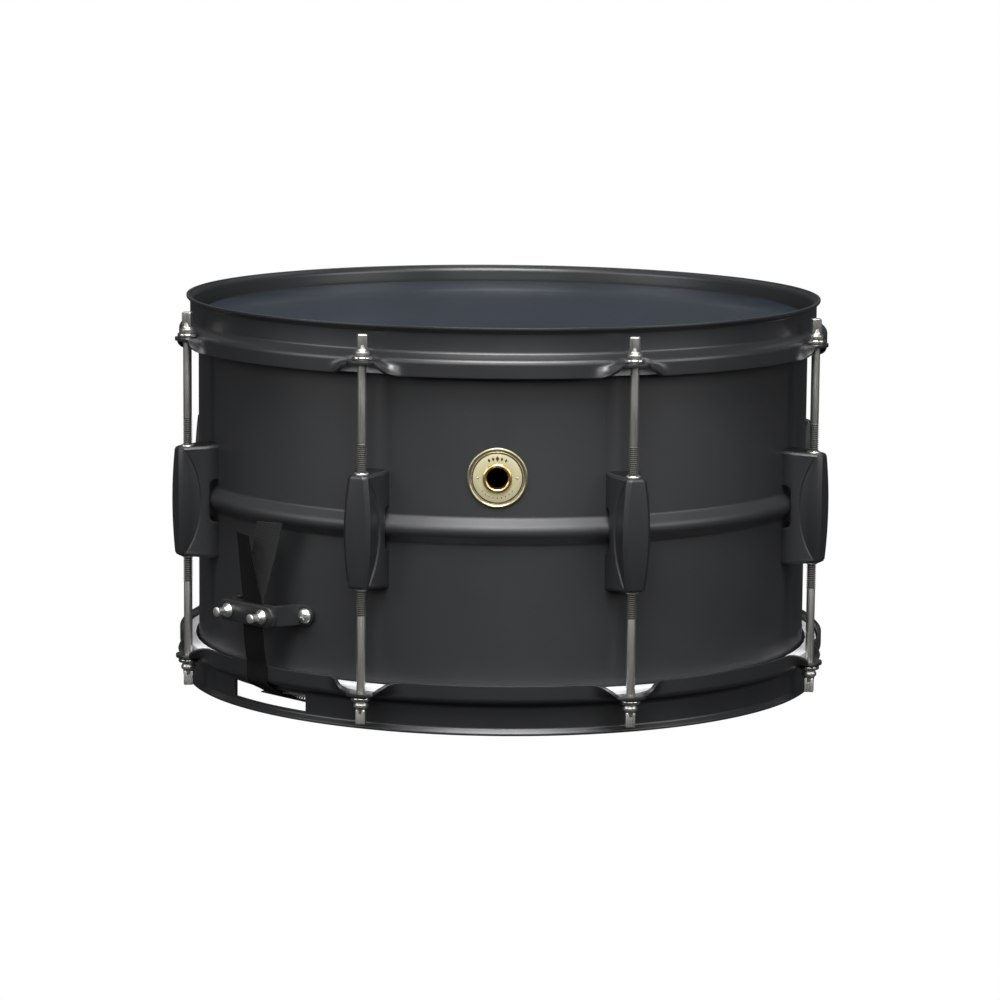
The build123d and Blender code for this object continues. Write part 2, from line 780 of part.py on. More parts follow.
with BuildPart() as lever_cam:
    with BuildSketch(facing(snare_angle, 187.3, pivot_height)):
        Circle(crank_disc_radius)
    extrude(amount=3.4)
    with BuildSketch(facing(snare_angle, 190.5, pivot_height)):
        Circle(pivot_radius)
    extrude(amount=lever_back - 190.5 - 0.1)
    with BuildSketch(facing(snare_angle, lever_back - 0.2, pivot_height)):
        Rectangle(lever_square, lever_square)
    extrude(amount=lever_sheet - 0.3)
    with BuildSketch(facing(snare_angle, slide_back + 0.3, pivot_height)):
        with Locations((-crank_rest, crank_rest)):
            Circle(crank_pin_radius)
    extrude(amount=187.5 - slide_back - 0.3)
    with BuildSketch(facing(snare_angle, 192, pivot_height)):
        Circle(1.55)
    extrude(amount=8, mode=Mode.SUBTRACT)
save(lever_cam.part, "lever_cam")

with BuildPart() as throw_lever:
    with BuildSketch(facing(snare_angle, lever_back, pivot_height)):
        Circle(9)
        Polygon((-8.4, 2), (8.4, 2), (5.2, lever_length), (-5.2, lever_length), align=None)
        with Locations((0, lever_length)):
            Circle(5.2)
        Rectangle(lever_square + 0.2, lever_square + 0.2, mode=Mode.SUBTRACT)
    extrude(amount=lever_sheet)
    with BuildSketch(facing(snare_angle, lever_back + lever_sheet - 0.5, pivot_height)):
        with Locations((0, lever_length - 9)):
            SlotOverall(26, 10, rotation=90)
    extrude(amount=4)
save(throw_lever.part, "throw_lever")

with BuildPart() as lever_screw:
    with BuildSketch(facing(snare_angle, 193, pivot_height)):
        Circle(1.5)
    extrude(amount=lever_back + lever_sheet - 193)
    with BuildSketch(facing(snare_angle, lever_back + lever_sheet + 0.05, pivot_height)):
        Circle(4.6)
    extrude(amount=2)
    with BuildSketch(facing(snare_angle, lever_back + lever_sheet - 0.2, pivot_height)):
        Circle(1.5)
    extrude(amount=1)
save(lever_screw.part, "lever_screw")

# The strainer's strap, in the three lengths that move apart
clamp_gap = (clamp_plate_front + carriage_back) / 2
with BuildPart() as strainer_strap_upper:
    with BuildSketch(facing(snare_angle, clamp_gap - 0.3, 36)):
        with Locations((0, 17.5)):
            Rectangle(strap_width, 35)
    extrude(amount=0.6)
save(strainer_strap_upper.part, "strainer_strap_upper")
save(
    ribbon(
        snare_angle, [(193.2, 36.2), (188.5, 26.5), (188.5, 16.6), (184.2, 11.9)], [6, 2], 0.5
    ),
    "strainer_strap_middle",
)
save(
    ribbon(
        snare_angle,
        [(183.6, 11.4), (174.5, 8), (168, strap_under_plate), (160, strap_under_plate)],
        [6, 6], 0.5,
    ),
    "strainer_strap_lower",
)
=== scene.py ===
"""Snare drum: visible pieces, finishes, lights and camera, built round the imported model."""

import json
from math import atan2, cos, degrees, pi, radians, sin, sqrt, tan

import bmesh
import bpy
from bpy.props import FloatProperty, FloatVectorProperty, IntProperty, PointerProperty
from bpy.types import Operator, Panel, PropertyGroup
from mathutils import Matrix, Vector


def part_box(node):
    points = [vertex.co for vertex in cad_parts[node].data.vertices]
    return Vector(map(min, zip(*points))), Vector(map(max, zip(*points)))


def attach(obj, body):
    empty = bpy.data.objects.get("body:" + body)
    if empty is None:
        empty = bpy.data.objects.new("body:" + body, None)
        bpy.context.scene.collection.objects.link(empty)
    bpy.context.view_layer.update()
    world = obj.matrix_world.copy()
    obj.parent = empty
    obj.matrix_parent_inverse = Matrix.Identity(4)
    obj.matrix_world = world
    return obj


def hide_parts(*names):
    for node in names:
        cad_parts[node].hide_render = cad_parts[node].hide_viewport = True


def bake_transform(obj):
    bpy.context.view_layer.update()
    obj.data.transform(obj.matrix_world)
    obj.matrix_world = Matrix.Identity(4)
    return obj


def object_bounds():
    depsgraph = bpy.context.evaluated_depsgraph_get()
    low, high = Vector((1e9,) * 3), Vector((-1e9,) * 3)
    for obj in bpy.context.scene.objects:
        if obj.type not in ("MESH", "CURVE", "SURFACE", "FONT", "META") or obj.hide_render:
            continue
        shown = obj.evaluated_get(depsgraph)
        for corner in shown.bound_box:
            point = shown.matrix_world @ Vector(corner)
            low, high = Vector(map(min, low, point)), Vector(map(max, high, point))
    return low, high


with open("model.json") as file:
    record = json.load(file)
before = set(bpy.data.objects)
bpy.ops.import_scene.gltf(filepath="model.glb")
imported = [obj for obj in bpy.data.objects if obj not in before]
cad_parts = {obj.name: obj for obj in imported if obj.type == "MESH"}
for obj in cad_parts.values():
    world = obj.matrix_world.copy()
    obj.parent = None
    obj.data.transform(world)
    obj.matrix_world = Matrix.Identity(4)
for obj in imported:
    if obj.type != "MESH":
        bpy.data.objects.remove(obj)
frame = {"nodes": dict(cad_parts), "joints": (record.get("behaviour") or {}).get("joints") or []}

bl_info = {
    "name": "Snare drum",
    "version": (1, 0, 0),
    "blender": (4, 5, 0),
    "location": "View3D > Sidebar > Drum",
    "description": "Builds the pieces and finishes of a beaded steel snare drum",
    "category": "Add Mesh",
}

MM = 0.001
CAD_LOW, CAD_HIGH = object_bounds()
HEIGHT = (CAD_HIGH.z - CAD_LOW.z) / MM
MIDDLE = HEIGHT / 2
ROD_PLACES = {
    joint["child"]: Vector(joint["pos_m"]) / MM
    for joint in frame["joints"]
    if joint["child"].startswith(("batter_rod", "snare_rod"))
}


def bearing(place):
    """The angle of a place round the drum, in degrees from the badge towards +X."""
    return degrees(atan2(place.x, -place.y))


LUG_ANGLES = [bearing(ROD_PLACES[f"batter_rod_{n}"]) for n in range(1, 9)]
ROD_CIRCLE = ROD_PLACES["batter_rod_1"].xy.length
BUTT_ANGLE = bearing((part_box("butt_bracket")[0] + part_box("butt_bracket")[1]) / 2)
SNARE_ANGLE = BUTT_ANGLE + 180
SHELL_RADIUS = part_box("shell")[1].x / MM - 4.7


# Settings -------------------------------------------------------------------------------


def length_setting(name, description, default):
    return FloatProperty(name=name, description=description, default=default, unit="LENGTH")


def angle_setting(name, description, default):
    return FloatProperty(
        name=name, description=description, default=radians(default), subtype="ANGLE")


def power_setting(name, description, default):
    return FloatProperty(name=name, description=description, default=default, unit="POWER")


def colour_setting(name, description, default):
    return FloatVectorProperty(
        name=name, description=description, default=default, subtype="COLOR")


class DrumSizes(PropertyGroup):
    """Sizes of the sheet metal and castings."""

    hoop_sheet: length_setting("Hoop sheet", "Thickness of the hoops' sheet", 0.0018)
    hoop_steps: IntProperty(
        name="Hoop steps", description="Faces round each hoop", default=720)
    shell_sheet: length_setting("Shell sheet", "Thickness of the shell's sheet", 0.001)
    shell_steps: IntProperty(
        name="Shell steps", description="Faces round the shell", default=360)
    lug_height: length_setting("Lug height", "Height of each lug", 0.062)
    strap_width: length_setting("Strap width", "Width of the snare straps", 0.016)
    strand_pitch: length_setting("Strand pitch", "Distance between snare strands", 0.002)


class DrumColours(PropertyGroup):
    """Base colours of the finishes."""

    lacquer: colour_setting(
        "Lacquer", "Satin black of the shell and hoops", (0.0125, 0.0132, 0.0138))
    casting: colour_setting(
        "Casting", "Satin black of the lugs and fittings", (0.0105, 0.0112, 0.0118))
    nickel: colour_setting("Nickel", "Grey nickel of the rods", (0.50, 0.49, 0.46))
    bright_steel: colour_setting("Bright steel", "Washers and strainer screws", (0.70, 0.69, 0.67))
    gold: colour_setting("Pale gold", "Face of the badge", (0.40, 0.37, 0.225))
    brass: colour_setting("Brass", "Grommet of the vent", (0.72, 0.50, 0.20))
    film: colour_setting("Film", "Batter film", (0.016, 0.022, 0.033))


class StageSettings(PropertyGroup):
    """Camera and light."""

    camera_distance: length_setting("Camera distance", "From the drum's axis, level", 2.2874)
    camera_height: length_setting("Camera height", "Above the floor", 0.4518)
    camera_turn: angle_setting("Camera turn", "Round the drum from the badge", 0.785)
    camera_aim: angle_setting("Camera aim", "Direction of view from +Y, counterclockwise", 0.81)
    camera_pitch: angle_setting("Camera pitch", "Downward tilt", 8.705)
    camera_roll: angle_setting("Camera roll", "Turn about the line of sight", 0.511)
    lens: FloatProperty(name="Lens", description="Focal length, mm", default=142.56)
    room_light: FloatProperty(
        name="Room light", description="Strength of the room", default=0.06)
    top_power: power_setting("Top light", "Power of the overhead softbox", 48.0)
    front_power: power_setting("Front light", "Power of the large front softbox", 54.0)
    rim_power: power_setting("Rim light", "Power of the high softbox behind", 22.0)
    side_power: power_setting("Side lights", "Power of each side softbox", 34.0)


# Geometry helpers -----------------------------------------------------------------------


def outward(angle):
    return Vector((sin(radians(angle)), -cos(radians(angle)), 0))


def along(angle):
    return Vector((cos(radians(angle)), sin(radians(angle)), 0))


def seat(angle, radius=0.0, height=0.0):
    """Local X round the drum, Y up and Z out of it, at a place in millimetres."""
    turn = Matrix((along(angle), (0, 0, 1), outward(angle))).transposed().to_4x4()
    spot = (outward(angle) * radius + Vector((0, 0, height))) * MM
    return Matrix.Translation(spot) @ turn


def upright_seat(angle, radius=0.0, height=0.0):
    """Local X out of the drum, Y round it and Z up, at a place in millimetres."""
    turn = Matrix((outward(angle), along(angle), (0, 0, 1))).transposed().to_4x4()
    spot = (outward(angle) * radius + Vector((0, 0, height))) * MM
    return Matrix.Translation(spot) @ turn


def smooth_step(value, low, high):
    """Rises from 0 at low to 1 at high, or falls where low is the larger."""
    share = min(1.0, max(0.0, (value - low) / (high - low)))
    return share * share * (3 - 2 * share)


def rounded(corners, segments=5):
    """An outline in metres through (x, y, radius) corners in mm, each turned as an arc."""
    outline = []
    for n, (x, y, radius) in enumerate(corners):
        corner = Vector((x, y))
        if radius == 0 or n in (0, len(corners) - 1):
            outline.append(corner)
            continue
        back = (Vector(corners[n - 1][:2]) - corner).normalized()
        ahead = (Vector(corners[n + 1][:2]) - corner).normalized()
        half = back.angle(ahead) / 2
        centre = corner + (back + ahead).normalized() * (radius / sin(half))
        start = corner + back * (radius / sin(half) * cos(half)) - centre
        end = corner + ahead * (radius / sin(half) * cos(half)) - centre
        for k in range(segments + 1):
            arm = start.slerp(end, k / segments) * radius
            outline.append(centre + arm)
    return [point * MM for point in outline]


def add_outline(bm, points, closed=False):
    """Vertices and edges through points in the local XZ plane."""
    verts = [bm.verts.new((point[0], 0, point[1])) for point in points]
    edges = [bm.edges.new(pair) for pair in zip(verts, verts[1:])]
    if closed:
        edges.append(bm.edges.new((verts[-1], verts[0])))
    return verts + edges


def add_spun(bm, points, steps, closed=False):
    """A shape turned about local Z from an outline of (radius, height)."""
    geometry = add_outline(bm, points, closed)
    bmesh.ops.spin(
        bm, geom=geometry, cent=(0, 0, 0), axis=(0, 0, 1), dvec=(0, 0, 0),
        angle=2 * pi, steps=steps, use_merge=True)


def tidy(bm):
    bmesh.ops.remove_doubles(bm, verts=bm.verts, dist=1e-7)
    bmesh.ops.dissolve_degenerate(bm, edges=bm.edges, dist=1e-8)
    bmesh.ops.recalc_face_normals(bm, faces=bm.faces)


def add_box(bm, size, centre, bevel=0.0, segments=2):
    """A box in millimetres, with its edges rounded."""
    made = bmesh.ops.create_cube(bm, size=1)["verts"]
    bmesh.ops.scale(bm, verts=made, vec=Vector(size) * MM)
    bmesh.ops.translate(bm, verts=made, vec=Vector(centre) * MM)
    if bevel:
        edges = list({edge for vert in made for edge in vert.link_edges})
        bmesh.ops.bevel(
            bm, geom=edges, offset=bevel * MM, segments=segments, profile=0.5,
            affect="EDGES", material=-1, clamp_overlap=True)


def new_object(name, bm, finishes):
    mesh = bpy.data.meshes.new(name)
    bm.to_mesh(mesh)
    bm.free()
    for finish in finishes:
        mesh.materials.append(finish)
    piece = bpy.data.objects.new(name, mesh)
    bpy.context.scene.collection.objects.link(piece)
    return piece


def settle(piece, sharp=32):
    """Applies the piece's modifiers and shades it smooth up to a sharp angle."""
    if piece.modifiers:
        graph = bpy.context.evaluated_depsgraph_get()
        done = bpy.data.meshes.new_from_object(piece.evaluated_get(graph))
        piece.modifiers.clear()
        piece.data = done
        done.name = piece.name
    piece.data.shade_smooth()
    piece.data.set_sharp_from_angle(angle=radians(sharp))


def add_piece(name, bm, finishes, body, replaces=(), sharp=32, modifiers=()):
    """Makes a piece of a bmesh with named finishes and places it on its body."""
    piece = new_object(name, bm, [FINISHES[finish] for finish in finishes])
    for kind, settings in modifiers:
        modifier = piece.modifiers.new(kind.title(), kind)
        for key, value in settings.items():
            setattr(modifier, key, value)
    settle(piece, sharp)
    if body:
        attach(piece, body)
    if replaces:
        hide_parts(*replaces)
    return piece


def solid_sheet(thickness, offset=-1.0):
    return ("SOLIDIFY", {"thickness": thickness, "offset": offset, "use_even_offset": True})


def edge_round(width, segments=2, angle=40):
    return ("BEVEL", {
        "width": width, "segments": segments, "limit_method": "ANGLE",
        "angle_limit": radians(angle), "use_clamp_overlap": True})


# Finishes -------------------------------------------------------------------------------


def new_finish(name, colour, roughness, metallic=0.0):
    material = bpy.data.materials.new(name)
    material.use_nodes = True
    shader = material.node_tree.nodes["Principled BSDF"]
    shader.inputs["Base Color"].default_value = (*colour, 1)
    shader.inputs["Roughness"].default_value = roughness
    shader.inputs["Metallic"].default_value = metallic
    return material, material.node_tree, shader


def add_noise(tree, scale, detail=3.0, stretch=(1, 1, 1), roughness=0.5):
    nodes, links = tree.nodes, tree.links
    place = nodes.new("ShaderNodeTexCoord")
    mapping = nodes.new("ShaderNodeMapping")
    mapping.inputs["Scale"].default_value = stretch
    noise = nodes.new("ShaderNodeTexNoise")
    noise.inputs["Scale"].default_value = scale
    noise.inputs["Detail"].default_value = detail
    noise.inputs["Roughness"].default_value = roughness
    links.new(place.outputs["Object"], mapping.inputs["Vector"])
    links.new(mapping.outputs["Vector"], noise.inputs["Vector"])
    return noise.outputs["Fac"]


def add_range(tree, value, low, high):
    """Spreads the middle half of a 0 to 1 value over a range."""
    node = tree.nodes.new("ShaderNodeMapRange")
    node.inputs["From Min"].default_value = 0.25
    node.inputs["From Max"].default_value = 0.75
    node.inputs["To Min"].default_value = low
    node.inputs["To Max"].default_value = high
    tree.links.new(value, node.inputs["Value"])
    return node.outputs["Result"]


def add_bump(tree, shader, value, strength, distance):
    node = tree.nodes.new("ShaderNodeBump")
    node.inputs["Strength"].default_value = strength
    node.inputs["Distance"].default_value = distance
    tree.links.new(value, node.inputs["Height"])
    tree.links.new(node.outputs["Normal"], shader.inputs["Normal"])


def add_blend(tree, shader, value, first, second):
    """Colours the surface between two colours."""
    node = tree.nodes.new("ShaderNodeMix")
    node.data_type = "RGBA"
    node.inputs[6].default_value = (*first, 1)
    node.inputs[7].default_value = (*second, 1)
    tree.links.new(value, node.inputs[0])
    tree.links.new(node.outputs[2], shader.inputs["Base Color"])


def scaled(colour, factor):
    return tuple(channel * factor for channel in colour)


def powder_black(name, colour, roughness, grain=2600.0, depth=0.00002):
    """Satin black lacquer with a fine powder grain and faint handling marks."""
    material, tree, shader = new_finish(name, colour, roughness)
    grain_noise = add_noise(tree, grain, detail=2)
    cloud = add_noise(tree, 14.0, detail=5)
    add_blend(tree, shader, cloud, scaled(colour, 0.86), scaled(colour, 1.16))
    tree.links.new(
        add_range(tree, cloud, roughness - 0.035, roughness + 0.045),
        shader.inputs["Roughness"])
    add_bump(tree, shader, grain_noise, 0.35, depth)
    return material


def plated(name, colour, roughness, streak=(60, 60, 1), grain=90.0, spread=0.08):
    """Bright metal with faint drawing lines along it."""
    material, tree, shader = new_finish(name, colour, roughness, metallic=1.0)
    lines = add_noise(tree, grain, detail=4, stretch=streak)
    tree.links.new(
        add_range(tree, lines, roughness - spread / 2, roughness + spread),
        shader.inputs["Roughness"])
    add_blend(tree, shader, lines, scaled(colour, 0.82), scaled(colour, 1.08))
    add_bump(tree, shader, lines, 0.12, 0.00002)
    return material


def satin_aluminium(name, colour):
    """Bright rolled aluminium with lines round the hoop."""
    material, tree, shader = new_finish(name, colour, 0.4, metallic=0.35)
    lines = add_noise(tree, 60.0, detail=4, stretch=(1, 1, 40))
    tree.links.new(add_range(tree, lines, 0.34, 0.46), shader.inputs["Roughness"])
    add_blend(tree, shader, lines, scaled(colour, 0.9), colour)
    return material


def pale_gold_face(name, colour):
    """Sandblasted pale gold."""
    material, tree, shader = new_finish(name, colour, 0.55, metallic=0.35)
    grain = add_noise(tree, 2400.0, detail=2)
    cloud = add_noise(tree, 130.0, detail=3)
    add_blend(tree, shader, cloud, scaled(colour, 0.9), scaled(colour, 1.08))
    add_bump(tree, shader, grain, 0.4, 0.00003)
    return material


def glossy_film(name, colour):
    """Black drumhead film with a faint haze of fine scuffs."""
    material, tree, shader = new_finish(name, colour, 0.16)
    haze = add_noise(tree, 9.0, detail=6, roughness=0.6)
    tree.links.new(add_range(tree, haze, 0.12, 0.26), shader.inputs["Roughness"])
    add_blend(tree, shader, haze, scaled(colour, 0.75), scaled(colour, 1.35))
    grain = add_noise(tree, 1500.0, detail=2)
    add_bump(tree, shader, grain, 0.08, 0.00001)
    shader.inputs["Coat Weight"].default_value = 0.25
    shader.inputs["Coat Roughness"].default_value = 0.08
    return material


def hazy_film(name):
    """Thin translucent snare-side film."""
    material, tree, shader = new_finish(name, (0.72, 0.74, 0.75), 0.32)
    haze = add_noise(tree, 30.0, detail=4)
    tree.links.new(add_range(tree, haze, 0.26, 0.4), shader.inputs["Roughness"])
    shader.inputs["Transmission Weight"].default_value = 0.55
    shader.inputs["IOR"].default_value = 1.3
    return material


def woven_ribbon(name, crest, shine):
    """Black nylon twill; its UV map is in metres along and across the strap."""
    material, tree, shader = new_finish(name, crest, 0.75)
    nodes, links = tree.nodes, tree.links
    uv = nodes.new("ShaderNodeUVMap")
    uv.uv_map = "weave"
    turned = nodes.new("ShaderNodeMapping")
    turned.inputs["Rotation"].default_value = (0, 0, radians(38))
    wave = nodes.new("ShaderNodeTexWave")
    wave.inputs["Scale"].default_value = 260.0
    wave.inputs["Distortion"].default_value = 0.4
    across = nodes.new("ShaderNodeTexWave")
    across.bands_direction = "Y"
    across.inputs["Scale"].default_value = 330.0
    links.new(uv.outputs["UV"], turned.inputs["Vector"])
    links.new(turned.outputs["Vector"], wave.inputs["Vector"])
    links.new(uv.outputs["UV"], across.inputs["Vector"])
    both = nodes.new("ShaderNodeMath")
    both.operation = "MULTIPLY"
    links.new(wave.outputs["Fac"], both.inputs[0])
    links.new(across.outputs["Fac"], both.inputs[1])
    add_blend(tree, shader, both.outputs["Value"], scaled(crest, 0.25), crest)
    add_bump(tree, shader, both.outputs["Value"], 0.8, 0.00025)
    shader.inputs["Specular IOR Level"].default_value = shine
    return material


FINISHES = {}


def make_finishes(colours):
    """Every finish of the drum, by a maker's name for it."""
    FINISHES.update({
        "shell lacquer": powder_black("shell lacquer", colours.lacquer, 0.46),
        "hoop lacquer": powder_black("hoop lacquer", colours.lacquer, 0.34),
        "casting": powder_black("casting", colours.casting, 0.40, grain=1900.0, depth=0.00003),
        "grey nickel": plated("grey nickel", colours.nickel, 0.33, streak=(80, 80, 0.6), spread=0.16),
        # The thread-root finish is painted shade: the rods' nickel darkened to 3 % to stand in for
        # the shade between the threads
        "thread root painted shade": powder_black("thread root painted shade", scaled(colours.nickel, 0.03), 0.6),
        "bright steel": plated("bright steel", colours.bright_steel, 0.2, spread=0.05),
        "aluminium": satin_aluminium("aluminium", (0.92, 0.93, 0.95)),
        "screw steel": plated("screw steel", (0.78, 0.77, 0.74), 0.36, spread=0.05),
        "pale gold": pale_gold_face("pale gold", colours.gold),
        "polished brass": plated("polished brass", colours.brass, 0.27, spread=0.05),
        "rolled gold": plated("rolled gold", scaled(colours.gold, 1.05), 0.34, spread=0.05),
        "dark inlay": powder_black("dark inlay", (0.03, 0.006, 0.005), 0.65),
        "batter film": glossy_film("batter film", colours.film),
        "snare film": hazy_film("snare film"),
        "ribbon": woven_ribbon("ribbon", (0.009, 0.0095, 0.010), 0.12),
        # The ribbon-back finish is a lighter copy of the same black ribbon: painted light standing in
        # for the light the back tail catches
        "ribbon painted lighter": woven_ribbon("ribbon painted lighter", (0.032, 0.032, 0.033), 0.3),
        "spring steel": plated("spring steel", (0.62, 0.62, 0.62), 0.22),
    })


def finish_node(node, finish):
    """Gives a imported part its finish."""
    part = frame["nodes"][node]
    part.data.materials.clear()
    part.data.materials.append(FINISHES[finish])


# Sheet metal ----------------------------------------------------------------------------


RIM_PROFILE = [
    (183.35, HEIGHT, 0), (183.35, HEIGHT - 1.2, 0.7), (181.2, HEIGHT - 3.4, 1.5),
    (181.2, 209.26, 0),
]
SHOULDER_FALL = 26.6
SHOULDER_LENGTH = 7.155
WALL_BEND = 2.0
SKIRT_BEND = 3.4
SKIRT_LENGTH = 9.23
BEND_REACH = tan(radians((90 - SHOULDER_FALL) / 2))
EAR_CREST = 2.2
SNARE_LIFT = 1.5
FLESH_DROP = 1.5
EAR_BEND = 1.9
EAR_EXTRA = 5.0
EAR_HALF = 8.2
EAR_FLAT = 6.5
EAR_FADE = 23.5
DENT = 2.0
SKIRT_ROWS = 26
SUBSTEPS = 8


def ear_offset(angle):
    """Distance round the drum, in mm, from the nearest ear's middle."""
    nearest = min(abs((angle - lug + 180) % 360 - 180) for lug in LUG_ANGLES)
    return radians(nearest) * ROD_CIRCLE


def skirt_path(offset):
    """Rows of (radius, height) in mm down the sheet, from the wall to the skirt's edge.

    Near a lug the skirt is turned outward into a flat ear, and the shoulder is dented in
    beside the rod.
    """
    lift = smooth_step(offset, EAR_FADE, EAR_FLAT)
    ear_turn = 90 * lift
    dent = DENT * smooth_step(offset, 12.0, 6.0)
    peak = 90 - 0.1 * ear_turn
    bend = SKIRT_BEND + (EAR_CREST - SKIRT_BEND) * lift
    shoulder = SHOULDER_LENGTH - (WALL_BEND + bend) * BEND_REACH - dent
    skirt = SKIRT_LENGTH - bend * BEND_REACH
    tip = EAR_EXTRA * sqrt(max(0.0, 1 - (offset / EAR_HALF) ** 2))
    legs = [
        (WALL_BEND * radians(90 - SHOULDER_FALL), 90, SHOULDER_FALL),
        (shoulder, SHOULDER_FALL, SHOULDER_FALL),
        (bend * radians(peak - SHOULDER_FALL), SHOULDER_FALL, peak),
        (EAR_BEND, peak, 90 - ear_turn),
        (skirt - EAR_BEND + tip, 90 - ear_turn, 90 - ear_turn),
    ]
    counts = (5, 3, 6, 6, SKIRT_ROWS - 20)
    point = Vector(RIM_PROFILE[-1][:2])
    path = []
    for (length, start, end), rows in zip(legs, counts):
        for row in range(rows):
            for k in range(SUBSTEPS):
                share = (row * SUBSTEPS + k + 0.5) / (rows * SUBSTEPS)
                fall = radians(start + (end - start) * share)
                point = point + Vector((cos(fall), -sin(fall))) * (length / rows / SUBSTEPS)
            path.append(point)
    return path


def hoop_sheet_mesh(steps):
    """One face of a triple-flanged hoop, its skirt drawn out into the ears."""
    bm = bmesh.new()
    points = rounded(RIM_PROFILE)
    points += [Vector((1.0 + row, 0)) for row in range(SKIRT_ROWS)]
    add_spun(bm, points, steps)
    paths = {}
    for vert in bm.verts:
        radius = vert.co.xy.length
        if radius < 0.9:
            continue
        angle = bearing(vert.co)
        offset = ear_offset(angle)
        key = round(offset, 3)
        if key not in paths:
            paths[key] = skirt_path(offset)
        at = paths[key][round(radius - 1.0)] * MM
        vert.co = outward(angle) * at.x + Vector((0, 0, at.y))
    face_outward(bm)
    return bm


def face_outward(bm):
    """Turns every face of an open sheet to look out of the drum."""
    bmesh.ops.recalc_face_normals(bm, faces=bm.faces)
    facing = 0
    for face in bm.faces:
        centre = face.calc_center_median()
        facing += face.normal.x * centre.x + face.normal.y * centre.y
    if facing < 0:
        bmesh.ops.reverse_faces(bm, faces=bm.faces)


GATE_TURN = 9.5
GATE_LOW = 4.8
GATE_HIGH = 14.5
GATE_REACH = 182.2
RAISED_ABOVE = 12.0


def cut_gate(bm, angle):
    """Opens a snare gate in the hoop's wall, between rows of its faces."""
    gone = []
    for face in bm.faces:
        centre = face.calc_center_median()
        turn = (bearing(centre) - angle + 180) % 360 - 180
        height = centre.z / MM
        in_wall = centre.xy.length < GATE_REACH * MM
        if in_wall and abs(turn) < GATE_TURN and GATE_LOW < height < GATE_HIGH:
            gone.append(face)
    bmesh.ops.delete(bm, geom=gone, context="FACES")


class DRUM_OT_hoops(Operator):
    """Make both hoops with their ears and the snare gates"""

    bl_idname = "drum.hoops"
    bl_label = "Hoops"

    def execute(self, context):
        sizes = context.scene.drum_sizes
        upper = hoop_sheet_mesh(sizes.hoop_steps)
        lower = upper.copy()
        finishing = [solid_sheet(sizes.hoop_sheet), edge_round(0.0009, 3)]
        add_piece(
            "batter_hoop_sheet", upper, ["hoop lacquer"], "root",
            ["batter_hoop"], modifiers=finishing)
        for vert in lower.verts:
            vert.co.z = HEIGHT * MM - vert.co.z
            if vert.co.z > RAISED_ABOVE * MM:
                vert.co.z += SNARE_LIFT * MM
        for height in (GATE_LOW, GATE_HIGH):
            bmesh.ops.bisect_plane(
                lower, geom=lower.verts[:] + lower.edges[:] + lower.faces[:],
                plane_co=(0, 0, height * MM), plane_no=(0, 0, 1))
        for angle in (BUTT_ANGLE, SNARE_ANGLE):
            cut_gate(lower, angle)
        face_outward(lower)
        add_piece(
            "snare_side_hoop_sheet", lower, ["hoop lacquer"], "root",
            ["snare_side_hoop"], modifiers=finishing)
        return {"FINISHED"}


class DRUM_OT_shell(Operator):
    """Make the beaded shell"""

    bl_idname = "drum.shell"
    bl_label = "Shell"

    def execute(self, context):
        sizes = context.scene.drum_sizes
        radius = SHELL_RADIUS
        edge = MIDDLE + 101.6
        upper = [
            (radius, MIDDLE + 7.2, 2.5), (radius, edge - 3.7, 2.5), (radius - 3.7, edge, 1.7),
            (radius - 8.7, edge - 2.3, 0),
        ]
        bead = (radius + 4.7, MIDDLE + 2.2, 5.0)
        lower = [
            (r, HEIGHT - z + SNARE_LIFT * (z > edge - 5), bend) for r, z, bend in reversed(upper)
        ]
        low_bead = (bead[0], HEIGHT - bead[1], bead[2])
        bm = bmesh.new()
        add_spun(bm, rounded([*lower, low_bead, bead, *upper], 10), sizes.shell_steps)
        bmesh.ops.recalc_face_normals(bm, faces=bm.faces)
        drill = bmesh.new()
        bmesh.ops.create_cone(
            drill, cap_ends=True, segments=48, radius1=6.6 * MM, radius2=6.6 * MM,
            depth=0.02, matrix=seat(0, radius, middle_height("vent_grommet")))
        cutter = new_object("vent_drill", drill, [])
        add_piece(
            "beaded_shell", bm, ["shell lacquer"], "root", ["shell"],
            modifiers=[
                solid_sheet(sizes.shell_sheet), ("BOOLEAN", {"object": cutter}),
            ])
        bpy.data.objects.remove(cutter)
        return {"FINISHED"}


def middle_height(node):
    """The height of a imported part's middle, in mm."""
    low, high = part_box(node)
    return (low.z + high.z) / 2 / MM


